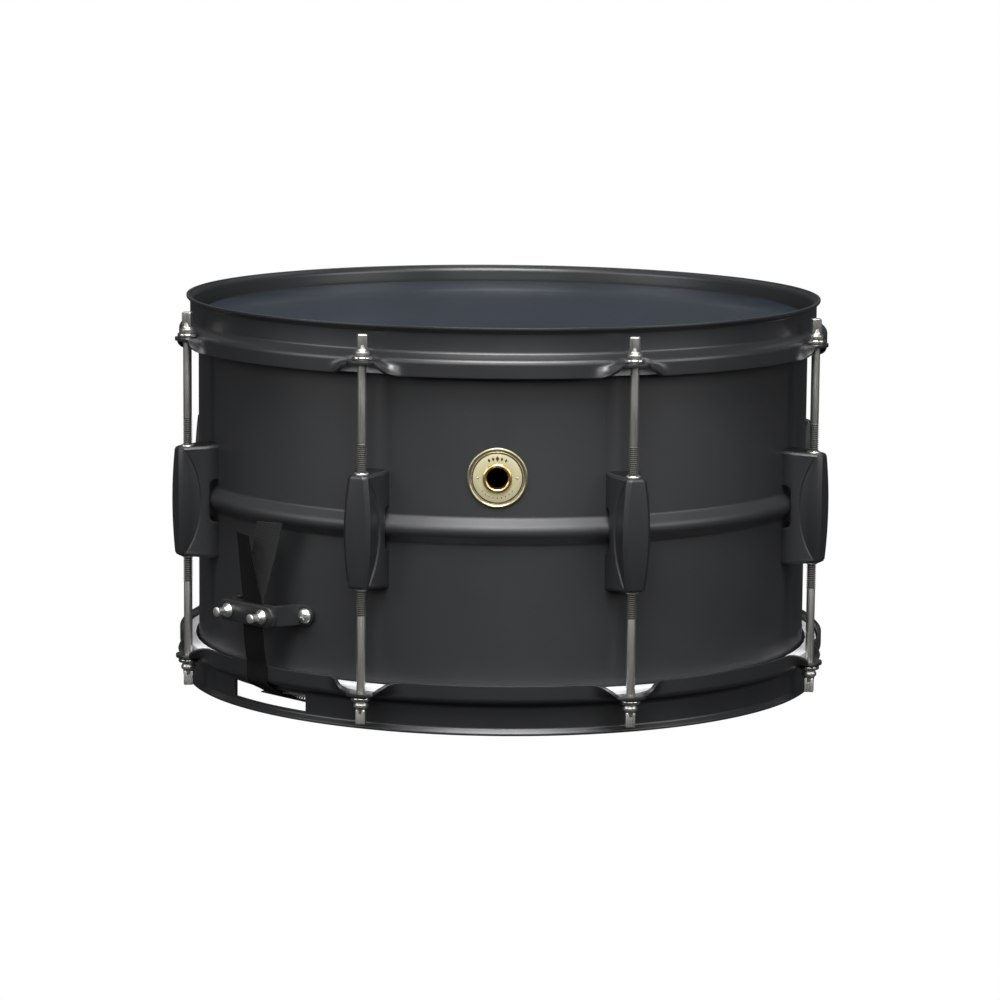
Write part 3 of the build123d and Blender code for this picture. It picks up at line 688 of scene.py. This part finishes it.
class DRUM_OT_heads(Operator):
    """Make the films and finish the flesh hoops"""

    bl_idname = "drum.heads"
    bl_label = "Heads"

    def execute(self, context):
        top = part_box("batter_head_film")[1].z / MM
        profile = [
            (0, top, 0), (60, top, 0), (120, top, 0), (172.9, top, 2.5),
            (178.5, top - 5.5, 2), (179.7, top - 7.6, 2), (179.7, top - 14, 0),
        ]
        for name, finish, flip in (
            ("batter_head_film", "batter film", False), ("snare_head_film", "snare film", True),
        ):
            bm = bmesh.new()
            add_spun(bm, rounded(profile, 4), 256)
            tidy(bm)
            if flip:
                for vert in bm.verts:
                    vert.co.z = (HEIGHT + SNARE_LIFT) * MM - vert.co.z
                bmesh.ops.reverse_faces(bm, faces=bm.faces)
            add_piece(
                name.replace("head_film", "skin"), bm, [finish], "root",
                [name], modifiers=[solid_sheet(0.0003, -1.0)])
        section = [
            (178.3, 0, 0), (178.3, 7.2, 0.5), (179.2, 7.2, 0), (179.2, 2.6, 0),
            (180.2, 2.6, 0), (180.2, 7.2, 0), (184.2, 7.2, 1.2), (184.8, 3.4, 1.5),
            (184.8, 0.2, 0.6), (184.2, 0, 0),
        ]
        for node in ("batter_head_hoop", "snare_head_hoop"):
            low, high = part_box(node)
            bm = bmesh.new()
            add_spun(bm, rounded(section, 4), 256, closed=True)
            if node.startswith("snare"):
                bmesh.ops.scale(bm, verts=bm.verts, vec=(1, 1, -1))
                bmesh.ops.translate(bm, verts=bm.verts, vec=(0, 0, high.z - FLESH_DROP * MM))
            else:
                bmesh.ops.translate(bm, verts=bm.verts, vec=(0, 0, low.z))
            tidy(bm)
            add_piece(
                node.replace("head_hoop", "flesh_hoop"), bm, ["aluminium"], "root",
                [node])
        return {"FINISHED"}


# Lugs and rods --------------------------------------------------------------------------


LUG_FRONT = 198.7
LUG_BACK = -22.6
LUG_ROWS = 41
LUG_FLARE = 0.05
LUG_DROP = 0.6


def lug_section(rise):
    """Half of a lug's section at a share of its half-height, as (half width, depth) in mm."""
    bow = 1 - rise * rise
    front = -0.9 * rise * rise
    face = 3.4 + 2.6 * bow
    spine = 5.6 + 2.4 * bow
    crease = -2.6 - 10.2 * max(0.0, bow) ** 0.8
    scoop = 0.9 * min(1.0, bow * 2.2)
    cheek_at_crease = 9.3 - 0.19 * (crease - LUG_BACK) + 1.4 * bow
    return [
        (9.4, LUG_BACK), (9.3 + 0.1 * bow, -16.0), (cheek_at_crease, crease),
        (cheek_at_crease - scoop, crease + 0.5),
        ((cheek_at_crease - scoop + spine) / 2 - 0.15 * bow, (crease - 2.0 + front) / 2),
        (spine, -2.0 + front), (face, front),
    ]


def lug_mesh():
    """A lug body: sections stacked along its height, drawn in at its ends."""
    bm = bmesh.new()
    width = 2 * len(lug_section(0))
    bmesh.ops.create_grid(bm, x_segments=width - 1, y_segments=LUG_ROWS - 1, size=0.5)
    half_height = bpy.context.scene.drum_sizes.lug_height / 2 / MM
    for vert in bm.verts:
        column = round((vert.co.x + 0.5) * (width - 1))
        row = vert.co.y * 2
        rise = sin(row * pi / 2)
        sections = lug_section(rise)
        side = 1 if column >= width // 2 else -1
        index = column - width // 2 if side == 1 else width // 2 - 1 - column
        half, depth = list(reversed(sections))[index]
        end = smooth_step(abs(rise), 0.955, 0.962) * 0.35
        shrink = end + 0.9 * smooth_step(abs(rise), 0.985, 1.0)
        flare = 1 + LUG_FLARE * depth / LUG_BACK
        vert.co = Vector((
            side * (half - shrink), rise * half_height * flare,
            min(depth, depth - shrink * (depth > -20)),
        )) * MM
    rim = [edge for edge in bm.edges if edge.is_boundary]
    bmesh.ops.edgeloop_fill(bm, edges=rim)
    bmesh.ops.recalc_face_normals(bm, faces=bm.faces)
    return bm


def notch_mesh():
    """Cutter for the saddle over the bead."""
    bm = bmesh.new()
    add_box(bm, (40, 24.6, 19.6), (0, 0, -27.1), bevel=4.0, segments=5)
    return bm


class DRUM_OT_lugs(Operator):
    """Make the eight lugs and the nuts in their ends"""

    bl_idname = "drum.lugs"
    bl_label = "Lugs"

    def execute(self, context):
        pattern = lug_mesh()
        notch = notch_mesh()
        for number, angle in enumerate(LUG_ANGLES, start=1):
            place = seat(angle, LUG_FRONT, MIDDLE)
            bm = pattern.copy()
            bm.transform(place @ Matrix.Translation((0, -LUG_DROP * MM, 0)))
            saddle = notch.copy()
            saddle.transform(place)
            cutter = new_object("saddle_cutter", saddle, [])
            add_piece(
                f"lug_casting_{number}", bm, ["casting"], "root",
                [f"lug_{number}"], sharp=28,
                modifiers=[("BOOLEAN", {"object": cutter}), edge_round(0.00035, 2, 24)])
            bpy.data.objects.remove(cutter)
        pattern.free()
        notch.free()
        nuts = bmesh.new()
        collar = [
            (2.76, -0.6, 0), (3.3, -0.6, 0), (3.3, 0.0, 0.1), (3.9, 0.1, 0.1), (3.9, 1.2, 0.3),
            (3.5, 1.6, 0.2), (2.76, 1.6, 0),
        ]
        half_height = context.scene.drum_sizes.lug_height / 2 / MM
        for angle in LUG_ANGLES:
            for side in (1, -1):
                nut = bmesh.new()
                add_spun(nut, rounded(collar, 3), 32, closed=True)
                place = upright_seat(
                    angle, ROD_CIRCLE, MIDDLE + side * (half_height - 0.5) - LUG_DROP)
                nut.transform(place @ Matrix.Scale(side, 4, (0, 0, 1)))
                join(nuts, nut)
        tidy(nuts)
        add_piece(
            "lug_nut_collars", nuts, ["screw steel"], "root", ["lug_nuts"])
        return {"FINISHED"}


def join(target, source):
    """Adds one bmesh to another and frees it."""
    carrier = bpy.data.meshes.new("carrier")
    source.to_mesh(carrier)
    source.free()
    target.from_mesh(carrier)
    bpy.data.meshes.remove(carrier)


THREAD_PITCH = 1.058
THREAD_LOW = 126.6
THREAD_HIGH = 157.6
THREAD_ROOT = 2.1
THREAD_CREST = 2.66


def rod_mesh():
    """A batter-side rod about local Z, at its own height."""
    bm = bmesh.new()
    points = [(0, 126.0), (2.0, 126.0)]
    height = THREAD_LOW
    while height < THREAD_HIGH:
        points += [
            (THREAD_ROOT, height), (THREAD_ROOT, height + 0.55 * THREAD_PITCH),
            (THREAD_CREST, height + 0.65 * THREAD_PITCH),
            (THREAD_CREST, height + 0.92 * THREAD_PITCH),
        ]
        height += THREAD_PITCH
    points += [(2.2, height), (2.3, 158.4), (2.42, 159.2), (2.42, 182), (2.42, 204.9)]
    points = [Vector(point) * MM for point in points]
    head = rounded([
        (2.42, 205.1, 0), (3.1, 205.2, 0.4), (4.1, 206.9, 0.8), (4.15, 208.2, 0.5),
        (3.0, 209.3, 1.2), (2.75, 212.0, 0), (0, 212.0, 0),
    ], 4)
    add_spun(bm, points + head, 28)
    add_box(bm, (5.3, 5.3, 8.0), (0, 0, 213.8), bevel=0.4, segments=3)
    for vert in bm.verts:
        if vert.co.z > 0.2175:
            vert.co.xy *= 0.96
    tidy(bm)
    # Faces in the thread roots take the painted-shade finish, a darkened copy of the nickel, in place
    # of the shade that falls between the threads
    for face in bm.faces:
        centre = face.calc_center_median() / MM
        if THREAD_LOW < centre.z < THREAD_HIGH and centre.xy.length < THREAD_ROOT + 0.15:
            face.material_index = 1
    return bm


class DRUM_OT_rods(Operator):
    """Make the tension rods and their cup washers"""

    bl_idname = "drum.rods"
    bl_label = "Tension rods"

    def execute(self, context):
        pattern = rod_mesh()
        flip = Matrix.Translation((0, 0, HEIGHT * MM)) @ Matrix.Scale(-1, 4, (0, 0, 1))
        for number, angle in enumerate(LUG_ANGLES, start=1):
            for side, turn in (("batter", 8), ("snare", -6)):
                bm = pattern.copy()
                bm.transform(Matrix.Rotation(radians(turn * (-1) ** number - angle), 4, "Z"))
                if side == "snare":
                    bm.transform(flip)
                bm.transform(upright_seat(angle, ROD_CIRCLE))
                bmesh.ops.recalc_face_normals(bm, faces=bm.faces)
                node = f"{side}_rod_{number}"
                add_piece(
                    f"{side}_key_rod_{number}", bm,
                    ["grey nickel", "thread root painted shade"], node, [node])
        pattern.free()
        washers = bmesh.new()
        section = [
            (2.9, 203.45, 0), (4.9, 203.45, 0.5), (5.6, 204.2, 0.6), (5.6, 205.6, 0.7),
            (4.9, 206.0, 0.4), (4.0, 204.9, 0.6), (2.9, 204.6, 0),
        ]
        for angle in LUG_ANGLES:
            for side in (1, -1):
                washer = bmesh.new()
                add_spun(washer, rounded(section, 3), 36, closed=True)
                if side == -1:
                    washer.transform(Matrix.Translation((0, 0, SNARE_LIFT * 0.7 * MM)) @ flip)
                washer.transform(upright_seat(angle, ROD_CIRCLE))
                join(washers, washer)
        tidy(washers)
        add_piece(
            "cup_washers", washers, ["bright steel"], "root",
            ["rod_washers"])
        return {"FINISHED"}


# Badge ----------------------------------------------------------------------------------


BADGE_RIM = 14.1


def bend_to_shell(bm):
    """Curves a flat local shape to follow the shell."""
    for vert in bm.verts:
        vert.co.z -= vert.co.x ** 2 / (2 * SHELL_RADIUS * MM)


class DRUM_OT_badge(Operator):
    """Make the badge and the vent grommet"""

    bl_idname = "drum.badge"
    bl_label = "Badge"

    def execute(self, context):
        height = middle_height("badge_plate")
        place = seat(0, SHELL_RADIUS, height)
        section = [
            (6.8, 0, 0), (16.2, 0, 0), (16.5, 0.3, 0.2), (16.4, 1.1, 0.5), (15.4, 1.3, 0.5),
            (14.9, 0.75, 0.2), (14.3, 0.7, 0), (14.1, 0.9, 0.1), (13.9, 0.7, 0), (13.2, 0.7, 0),
            (12.9, 0.82, 0), (9.5, 0.82, 0), (6.8, 0.82, 0),
        ]
        plate = bmesh.new()
        add_spun(plate, rounded(section, 3), 128, closed=True)
        bmesh.ops.recalc_face_normals(plate, faces=plate.faces)
        for face in plate.faces:
            face.material_index = int(face.calc_center_median().xy.length > BADGE_RIM * MM)
        bend_to_shell(plate)
        plate.transform(place)
        add_piece(
            "badge_face", plate, ["pale gold", "rolled gold"], "root",
            ["badge_plate"])
        inlay = bmesh.new()
        ring = [(13.3, 0.6), (14.0, 0.6), (14.0, 0.86), (13.3, 0.86)]
        add_spun(inlay, [Vector(point) * MM for point in ring], 128, closed=True)
        for turn in (-26, -13, 0, 13, 26):
            self.add_lozenge(inlay, 10.5, turn, 1.25 if turn else 1.7)
        for turn in range(-48, 49, 12):
            self.add_lozenge(inlay, 10.9, 180 + turn, 0.55)
        bmesh.ops.recalc_face_normals(inlay, faces=inlay.faces)
        bend_to_shell(inlay)
        inlay.transform(place)
        add_piece("badge_inlay", inlay, ["dark inlay"], "root")
        pips = bmesh.new()
        for side in (-1, 1):
            made = bmesh.ops.create_uvsphere(
                pips, u_segments=16, v_segments=8, radius=0.55 * MM)["verts"]
            bmesh.ops.translate(pips, verts=made, vec=(side * 10.6 * MM, 0, 0.75 * MM))
        bend_to_shell(pips)
        pips.transform(place)
        add_piece("badge_pips", pips, ["pale gold"], "root")
        rolled = [
            (6.55, -3.2, 0), (6.55, 0.8, 0), (7.9, 1.0, 0.3), (8.0, 1.9, 0.8), (7.0, 2.75, 0.9),
            (5.9, 2.2, 0.7), (5.7, 1.0, 0.6), (5.7, -3.2, 0),
        ]
        grommet = bmesh.new()
        add_spun(grommet, rounded(rolled, 8), 96, closed=True)
        bmesh.ops.recalc_face_normals(grommet, faces=grommet.faces)
        grommet.transform(place)
        add_piece(
            "rolled_grommet", grommet, ["polished brass"], "root",
            ["vent_grommet"])
        return {"FINISHED"}

    def add_lozenge(self, bm, radius, turn, size):
        """A small raised diamond at a turn clockwise from the top."""
        made = bmesh.ops.create_cone(
            bm, cap_ends=True, segments=4, radius1=size * MM, radius2=size * 0.8 * MM,
            depth=0.12 * MM)["verts"]
        bmesh.ops.scale(bm, verts=made, vec=(0.62, 1, 1))
        bmesh.ops.translate(bm, verts=made, vec=(0, radius * MM, 0.84 * MM))
        bmesh.ops.rotate(
            bm, verts=made, cent=(0, 0, 0), matrix=Matrix.Rotation(-radians(turn), 3, "Z"))


# Butt plate -----------------------------------------------------------------------------


def point_along(points, way):
    """The point at a distance along a polyline in the plane."""
    for start, end in zip(points, points[1:]):
        length = (end - start).length
        if way <= length or end is points[-1]:
            return start + (end - start).normalized() * way
        way -= length


def path_length(points):
    return sum((end - start).length for start, end in zip(points, points[1:]))


class DRUM_OT_butt(Operator):
    """Make the butt plate, its clamp bar and its screws"""

    bl_idname = "drum.butt"
    bl_label = "Butt plate"

    def execute(self, context):
        height = middle_height("butt_bracket")
        place = upright_seat(BUTT_ANGLE, 0, height)
        tab = SHELL_RADIUS + 2.15
        outer = (tab * cos(radians(10.4)), tab * sin(radians(10.4)))
        inner = (tab * cos(radians(7.3)), tab * sin(radians(7.3)))
        corners = [
            (outer[0], -outer[1], 0), (inner[0], -inner[1], 2.4), (191.9, -18.2, 2.6),
            (191.9, 18.2, 2.6), (inner[0], inner[1], 2.4), (outer[0], outer[1], 0),
        ]
        path = rounded(corners, 6)
        total = path_length(path)
        tall = 5.65 * MM
        bm = bmesh.new()
        columns, rows = 90, 8
        bmesh.ops.create_grid(bm, x_segments=columns, y_segments=rows, size=0.5)
        for vert in bm.verts:
            share = vert.co.x + 0.5
            way = total * (0.5 - 0.5 * cos(pi * share))
            point = point_along(path, way)
            reach = min(way, total - way)
            half = tall
            if reach < tall:
                half = sqrt(max(0.0, tall ** 2 - (tall - reach) ** 2))
            vert.co = Vector((point.x, point.y, vert.co.y * 2 * half))
        bmesh.ops.remove_doubles(bm, verts=bm.verts, dist=1e-6)
        bmesh.ops.recalc_face_normals(bm, faces=bm.faces)
        if sum(face.normal.x for face in bm.faces) < 0:
            bmesh.ops.reverse_faces(bm, faces=bm.faces)
        bm.transform(place)
        add_piece(
            "butt_bracket_strap", bm, ["casting"], "root",
            ["butt_bracket"], modifiers=[solid_sheet(0.002), edge_round(0.0004, 3)])
        bar = bmesh.new()
        bmesh.ops.create_circle(bar, cap_ends=True, segments=32, radius=6 * MM)
        for vert in bar.verts:
            vert.co.x += 17 * MM if vert.co.x > 0 else -17 * MM
        front = bmesh.ops.extrude_face_region(bar, geom=bar.faces[:])["geom"]
        raised = [item for item in front if isinstance(item, bmesh.types.BMVert)]
        bmesh.ops.translate(bar, verts=raised, vec=(0, 0, 3.9 * MM))
        bmesh.ops.recalc_face_normals(bar, faces=bar.faces)
        bar.transform(seat(BUTT_ANGLE, 193.1, height))
        add_piece(
            "butt_clamp_bar", bar, ["casting"], "root",
            ["butt_clamp_plate"], modifiers=[edge_round(0.0007, 3)])
        self.add_screws(height)
        return {"FINISHED"}

    def add_screws(self, height):
        keys = bmesh.new()
        for side in (-1, 1):
            screw = key_screw_mesh()
            screw.transform(
                seat(BUTT_ANGLE, 197.0, height) @ Matrix.Translation((side * 14.2 * MM, 0, 0)))
            join(keys, screw)
        add_piece(
            "butt_thumb_screws", keys, ["screw steel"], "root",
            ["butt_key_screws"])
        heads = bmesh.new()
        dome = [
            (0, 2.5, 0), (1.6, 2.45, 2), (3.9, 1.5, 1.2), (4.25, 0.1, 0.4), (4.0, 0, 0), (0, 0, 0),
        ]
        for turn in (-8.8, 8.8):
            head = bmesh.new()
            add_spun(head, rounded(dome, 4), 40)
            tidy(head)
            head.transform(seat(BUTT_ANGLE + turn, SHELL_RADIUS + 2.3, height))
            join(heads, head)
        cross = bmesh.new()
        for turn in (-8.8, 8.8):
            for tilt in (20, 110):
                slot = bmesh.new()
                add_box(slot, (4.4, 0.95, 2.4), (0, 0, 2.6), bevel=0.2)
                slot.transform(
                    seat(BUTT_ANGLE + turn, SHELL_RADIUS + 2.3, height)
                    @ Matrix.Rotation(radians(tilt), 4, "Z"))
                join(cross, slot)
        cutter = new_object("cross_cutter", cross, [])
        add_piece(
            "butt_cross_screws", heads, ["screw steel"], "root",
            ["butt_mount_screws"], modifiers=[("BOOLEAN", {"object": cutter, "use_self": True})])
        bpy.data.objects.remove(cutter)
        finish_node("butt_mount_nuts", "bright steel")


def key_screw_mesh():
    """A drum-key thumb screw about local Z, seated at 0."""
    bm = bmesh.new()
    section = rounded([
        (0, -4, 0), (2, -4, 0), (2, 0, 0), (4.0, 0, 0.2), (4.1, 0.8, 0.4), (2.9, 2.2, 0.8),
        (2.05, 3.4, 0.8), (2.05, 6.9, 0.5), (2.6, 7.8, 0.4), (2.6, 9.0, 0.5), (0, 9.25, 0),
    ], 4)
    add_spun(bm, section, 32)
    tidy(bm)
    return bm


# Straps and snares ----------------------------------------------------------------------


def ribbon_mesh(centres, width, rows=8, columns=90):
    """A strap along points (in mm), with its weave laid out in metres."""
    bm = bmesh.new()
    bmesh.ops.create_grid(bm, x_segments=columns, y_segments=rows, size=0.5, calc_uvs=False)
    lengths = [0.0]
    for start, end in zip(centres, centres[1:]):
        lengths.append(lengths[-1] + (end[0] - start[0]).length)
    total = lengths[-1]
    layer = bm.loops.layers.uv.new("weave")
    flat = {}
    for vert in bm.verts:
        way = (vert.co.x + 0.5) * total
        n = 0
        while n < len(lengths) - 2 and way > lengths[n + 1]:
            n += 1
        share = (way - lengths[n]) / (lengths[n + 1] - lengths[n])
        middle = centres[n][0].lerp(centres[n + 1][0], share)
        side = centres[n][1].lerp(centres[n + 1][1], share).normalized()
        flat[vert.index] = (way * MM, vert.co.y * width * MM)
        vert.co = (middle + side * (vert.co.y * width)) * MM
    bm.verts.ensure_lookup_table()
    for face in bm.faces:
        for loop in face.loops:
            loop[layer].uv = flat[loop.vert.index]
    return bm


def smooth_route(points, per_span=8):
    """A Catmull-Rom line through (place, side) pairs."""
    route = []
    ends = [points[0], *points, points[-1]]
    for n in range(1, len(ends) - 2):
        for k in range(per_span):
            s = k / per_span
            pair = []
            for part in (0, 1):
                a, b, c, d = (Vector(ends[n + m][part]) for m in (-1, 0, 1, 2))
                pair.append(
                    0.5 * ((2 * b) + (c - a) * s + (2 * a - 5 * b + 4 * c - d) * s * s
                           + (3 * b - a - 3 * c + d) * s ** 3))
            route.append((pair[0], pair[1].normalized()))
    route.append((Vector(points[-1][0]), Vector(points[-1][1]).normalized()))
    return route


def strap_points(angle, rows):
    """Turns (radius, offset round the drum, height, side tilt) rows into places."""
    points = []
    for radius, offset, height, tilt in rows:
        place = outward(angle) * radius + along(angle) * offset + Vector((0, 0, height))
        side = along(angle) * cos(radians(tilt)) + outward(angle) * sin(radians(tilt))
        points.append((place, side))
    return points


def add_strap(name, angle, rows, body, replaces=(), thickness=0.0006, finish="ribbon"):
    width = bpy.context.scene.drum_sizes.strap_width / MM
    route = smooth_route(strap_points(angle, rows))
    bm = ribbon_mesh(route, width)
    return add_piece(
        name, bm, [finish], body, replaces, sharp=60,
        modifiers=[solid_sheet(thickness, 0.0)])


STRAP_BELOW = [
    (188.35, 0, 29.0, 0), (188.3, 0, 23.5, 0), (188.0, 0, 19.2, 0), (186.4, 0, 16.7, 0),
    (183.6, 0, 14.9, 0), (179.0, 0, 12.6, 0), (173.5, 0, 9.7, 0), (167.0, 0, 7.2, 0),
    (160.5, 0, 5.85, 0),
]


class DRUM_OT_straps(Operator):
    """Make the butt strap with its tails, and the strainer's strap"""

    bl_idname = "drum.straps"
    bl_label = "Straps"

    def execute(self, context):
        add_strap(
            "butt_ribbon", BUTT_ANGLE,
            [(192.5, 2.0, 64.5, 0), (192.5, 2.0, 58, 0), (192.4, 1.8, 50, 0),
             (190.9, 1.2, 39, 0), *STRAP_BELOW], "root", ["butt_strap"])
        add_strap(
            "butt_tail_front", BUTT_ANGLE,
            [(192.7, 1.9, 62, 0), (193.6, 1.8, 68, 2), (195.0, 1.2, 78, 8),
             (196.2, 0.0, 90, 13), (196.9, -1.6, 102.5, 16)], "root", thickness=0.0005)
        add_strap(
            # The back tail takes the lighter copy of the ribbon, painted lighter for the light it
            # catches; it is the same strap as the front tail
            "butt_tail_back", BUTT_ANGLE,
            [(191.9, 1.6, 62, 0), (191.2, 2.0, 69, -4), (190.2, 4.5, 80, -8),
             (190.2, 9.0, 94, -14), (191.0, 14.2, 110, -20)], "root", thickness=0.0005,
            finish="ribbon painted lighter")
        add_strap(
            "strainer_ribbon_upper", SNARE_ANGLE,
            [(193.85, 0, 71, 0), (193.85, 0, 60, 0), (193.85, 0, 48, 0), (193.85, 0, 36.5, 0)],
            "strap_carriage", ["strainer_strap_upper"])
        middle = add_strap(
            "strainer_ribbon_middle", SNARE_ANGLE,
            [(193.1, 0, 36.2, 0), (191.2, 0, 32.2, 0), *STRAP_BELOW[:5]], None,
            ["strainer_strap_middle"])
        lower = add_strap(
            "strainer_ribbon_lower", SNARE_ANGLE, STRAP_BELOW[4:], None,
            ["strainer_strap_lower"])
        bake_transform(middle)
        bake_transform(lower)
        return {"FINISHED"}

    def strap_place(self, radius, height):
        return (outward(SNARE_ANGLE) * radius + Vector((0, 0, height))) * MM


STRAND_END = 10.0
COIL_PITCH = 1.8


class DRUM_OT_snares(Operator):
    """Make the coiled snare strands and finish their end plates"""

    bl_idname = "drum.snares"
    bl_label = "Snares"

    def execute(self, context):
        low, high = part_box("snare_wires")
        height = (low.z + high.z) / 2
        reach = high.xy.length - STRAND_END * MM
        pitch, per_turn = COIL_PITCH * MM, 6
        turns = int(2 * reach / pitch)
        strand = bmesh.new()
        bmesh.ops.create_circle(strand, cap_ends=False, segments=3, radius=0.22 * MM)
        bmesh.ops.rotate(
            strand, verts=strand.verts, cent=(0, 0, 0), matrix=Matrix.Rotation(pi / 2, 3, "X"))
        bmesh.ops.translate(strand, verts=strand.verts, vec=(0.56 * MM, 0, -reach))
        bmesh.ops.spin(
            strand, geom=strand.verts[:] + strand.edges[:], cent=(0, 0, 0), axis=(0, 0, 1),
            dvec=(0, 0, pitch / per_turn), angle=2 * pi * turns, steps=per_turn * turns,
            use_merge=False)
        holes = [edge for edge in strand.edges if edge.is_boundary]
        bmesh.ops.edgeloop_fill(strand, edges=holes)
        bmesh.ops.recalc_face_normals(strand, faces=strand.faces)
        wires = bmesh.new()
        spacing = context.scene.drum_sizes.strand_pitch
        for n in range(20):
            copy = strand.copy()
            copy.transform(
                seat(SNARE_ANGLE, 0, height / MM)
                @ Matrix.Translation(((n - 9.5) * spacing, 0, 0)))
            join(wires, copy)
        strand.free()
        add_piece(
            "snare_coils", wires, ["spring steel"], "snares",
            ["snare_wires"])
        finish_node("snare_end_plates", "bright steel")
        return {"FINISHED"}


class DRUM_OT_strainer(Operator):
    """Finish the strainer's parts"""

    bl_idname = "drum.strainer"
    bl_label = "Strainer"

    def execute(self, context):
        for node in (
            "strainer_base", "strainer_cover", "strainer_slide", "strap_carriage",
            "strap_clamp_plate", "throw_lever", "tension_knob",
        ):
            finish_node(node, "casting")
        for node in (
            "strainer_screws", "strainer_key_screws", "lever_cam", "lever_screw", "lug_screws",
        ):
            finish_node(node, "bright steel")
        return {"FINISHED"}


# Stage ----------------------------------------------------------------------------------


class DRUM_OT_stage(Operator):
    """Set up the floor, the lights and the camera"""

    bl_idname = "drum.stage"
    bl_label = "Stage"

    def execute(self, context):
        scene = context.scene
        stage = scene.drum_stage
        scene.view_settings.view_transform = "Standard"
        self.add_camera(scene, stage)
        self.add_floor()
        self.add_lights(scene, stage)
        return {"FINISHED"}

    def add_camera(self, scene, stage):
        data = bpy.data.cameras.new("camera")
        data.lens = stage.lens
        data.sensor_width = 36.0
        data.clip_end = 50.0
        camera = bpy.data.objects.new("camera", data)
        scene.collection.objects.link(camera)
        camera.location = (
            sin(stage.camera_turn) * stage.camera_distance,
            -cos(stage.camera_turn) * stage.camera_distance, stage.camera_height)
        camera.rotation_euler = (
            Matrix.Rotation(stage.camera_aim, 3, "Z")
            @ Matrix.Rotation(pi / 2 - stage.camera_pitch, 3, "X")
            @ Matrix.Rotation(stage.camera_roll, 3, "Z")).to_euler()
        scene.camera = camera

    def add_floor(self):
        bm = bmesh.new()
        bmesh.ops.create_grid(bm, x_segments=1, y_segments=1, size=6)
        bmesh.ops.translate(bm, verts=bm.verts, vec=(0, 0, -0.0002))
        far = [edge for edge in bm.edges if all(vert.co.y > 5 for vert in edge.verts)]
        wall = bmesh.ops.extrude_edge_only(bm, edges=far)["geom"]
        raised = [item for item in wall if isinstance(item, bmesh.types.BMVert)]
        bmesh.ops.translate(bm, verts=raised, vec=(0, 0, 6))
        material = bpy.data.materials.new("pale floor")
        material.use_nodes = True
        tree = material.node_tree
        tree.nodes.clear()
        glow = tree.nodes.new("ShaderNodeEmission")
        glow.inputs["Color"].default_value = (1, 1, 1, 1)
        glow.inputs["Strength"].default_value = 1.0
        output = tree.nodes.new("ShaderNodeOutputMaterial")
        tree.links.new(glow.outputs["Emission"], output.inputs["Surface"])
        floor = new_object("floor", bm, [material])
        floor.visible_diffuse = False
        floor.visible_glossy = False
        floor.visible_transmission = False
        floor.visible_shadow = False

    def add_lights(self, scene, stage):
        world = bpy.data.worlds.new("room")
        world.use_nodes = True
        world.node_tree.nodes["Background"].inputs["Color"].default_value = (0.93, 0.97, 1, 1)
        world.node_tree.nodes["Background"].inputs["Strength"].default_value = stage.room_light
        scene.world = world
        for name, place, target, width, height, strength in (
            ("top_softbox", (0.05, -0.85, 1.5), (0, -0.1, 0.15), 0.9, 0.8, stage.top_power),
            ("front_softbox", (0.0, -2.6, 1.4), (0, 0, 0.1), 2.6, 1.4, stage.front_power),
            ("rim_softbox", (0.0, 1.6, 2.2), (0, 0, 0.2), 2.5, 0.8, stage.rim_power),
            ("left_softbox", (-2.3, -1.25, 1.2), (0, 0, 0.15), 1.6, 1.4, stage.side_power),
            ("right_softbox", (2.3, -1.25, 1.2), (0, 0, 0.15), 1.6, 1.4, stage.side_power),
        ):
            self.add_softbox(scene, name, place, target, width, height, strength)

    def add_softbox(self, scene, name, place, target, width, height, strength):
        data = bpy.data.lights.new(name, "AREA")
        data.shape = "RECTANGLE"
        data.size = width
        data.size_y = height
        data.energy = strength
        lamp = bpy.data.objects.new(name, data)
        scene.collection.objects.link(lamp)
        lamp.location = place
        aim = Vector(target) - Vector(place)
        lamp.rotation_euler = aim.to_track_quat("-Z", "Y").to_euler()
        lamp.visible_camera = False


# Add-on ---------------------------------------------------------------------------------


OPERATORS = (
    DRUM_OT_stage, DRUM_OT_shell, DRUM_OT_hoops, DRUM_OT_heads, DRUM_OT_lugs, DRUM_OT_rods,
    DRUM_OT_badge, DRUM_OT_butt, DRUM_OT_straps, DRUM_OT_snares, DRUM_OT_strainer,
)


class DRUM_PT_pieces(Panel):
    """Lists the drum's settings and pieces"""

    bl_idname = "DRUM_PT_pieces"
    bl_label = "Snare drum"
    bl_space_type = "VIEW_3D"
    bl_region_type = "UI"
    bl_category = "Drum"

    def draw(self, context):
        for group in (
            context.scene.drum_sizes, context.scene.drum_colours, context.scene.drum_stage,
        ):
            for name in group.__annotations__:
                self.layout.prop(group, name)
        for operator in OPERATORS:
            self.layout.operator(operator.bl_idname)


CLASSES = (DrumSizes, DrumColours, StageSettings, *OPERATORS, DRUM_PT_pieces)


def register():
    for item in CLASSES:
        bpy.utils.register_class(item)
    bpy.types.Scene.drum_sizes = PointerProperty(type=DrumSizes)
    bpy.types.Scene.drum_colours = PointerProperty(type=DrumColours)
    bpy.types.Scene.drum_stage = PointerProperty(type=StageSettings)


def unregister():
    del bpy.types.Scene.drum_sizes
    del bpy.types.Scene.drum_colours
    del bpy.types.Scene.drum_stage
    for item in reversed(CLASSES):
        bpy.utils.unregister_class(item)


def main():
    register()
    make_finishes(bpy.context.scene.drum_colours)
    for operator in OPERATORS:
        group, name = operator.bl_idname.split(".")
        getattr(getattr(bpy.ops, group), name)()


if __name__ == "__main__":
    main()
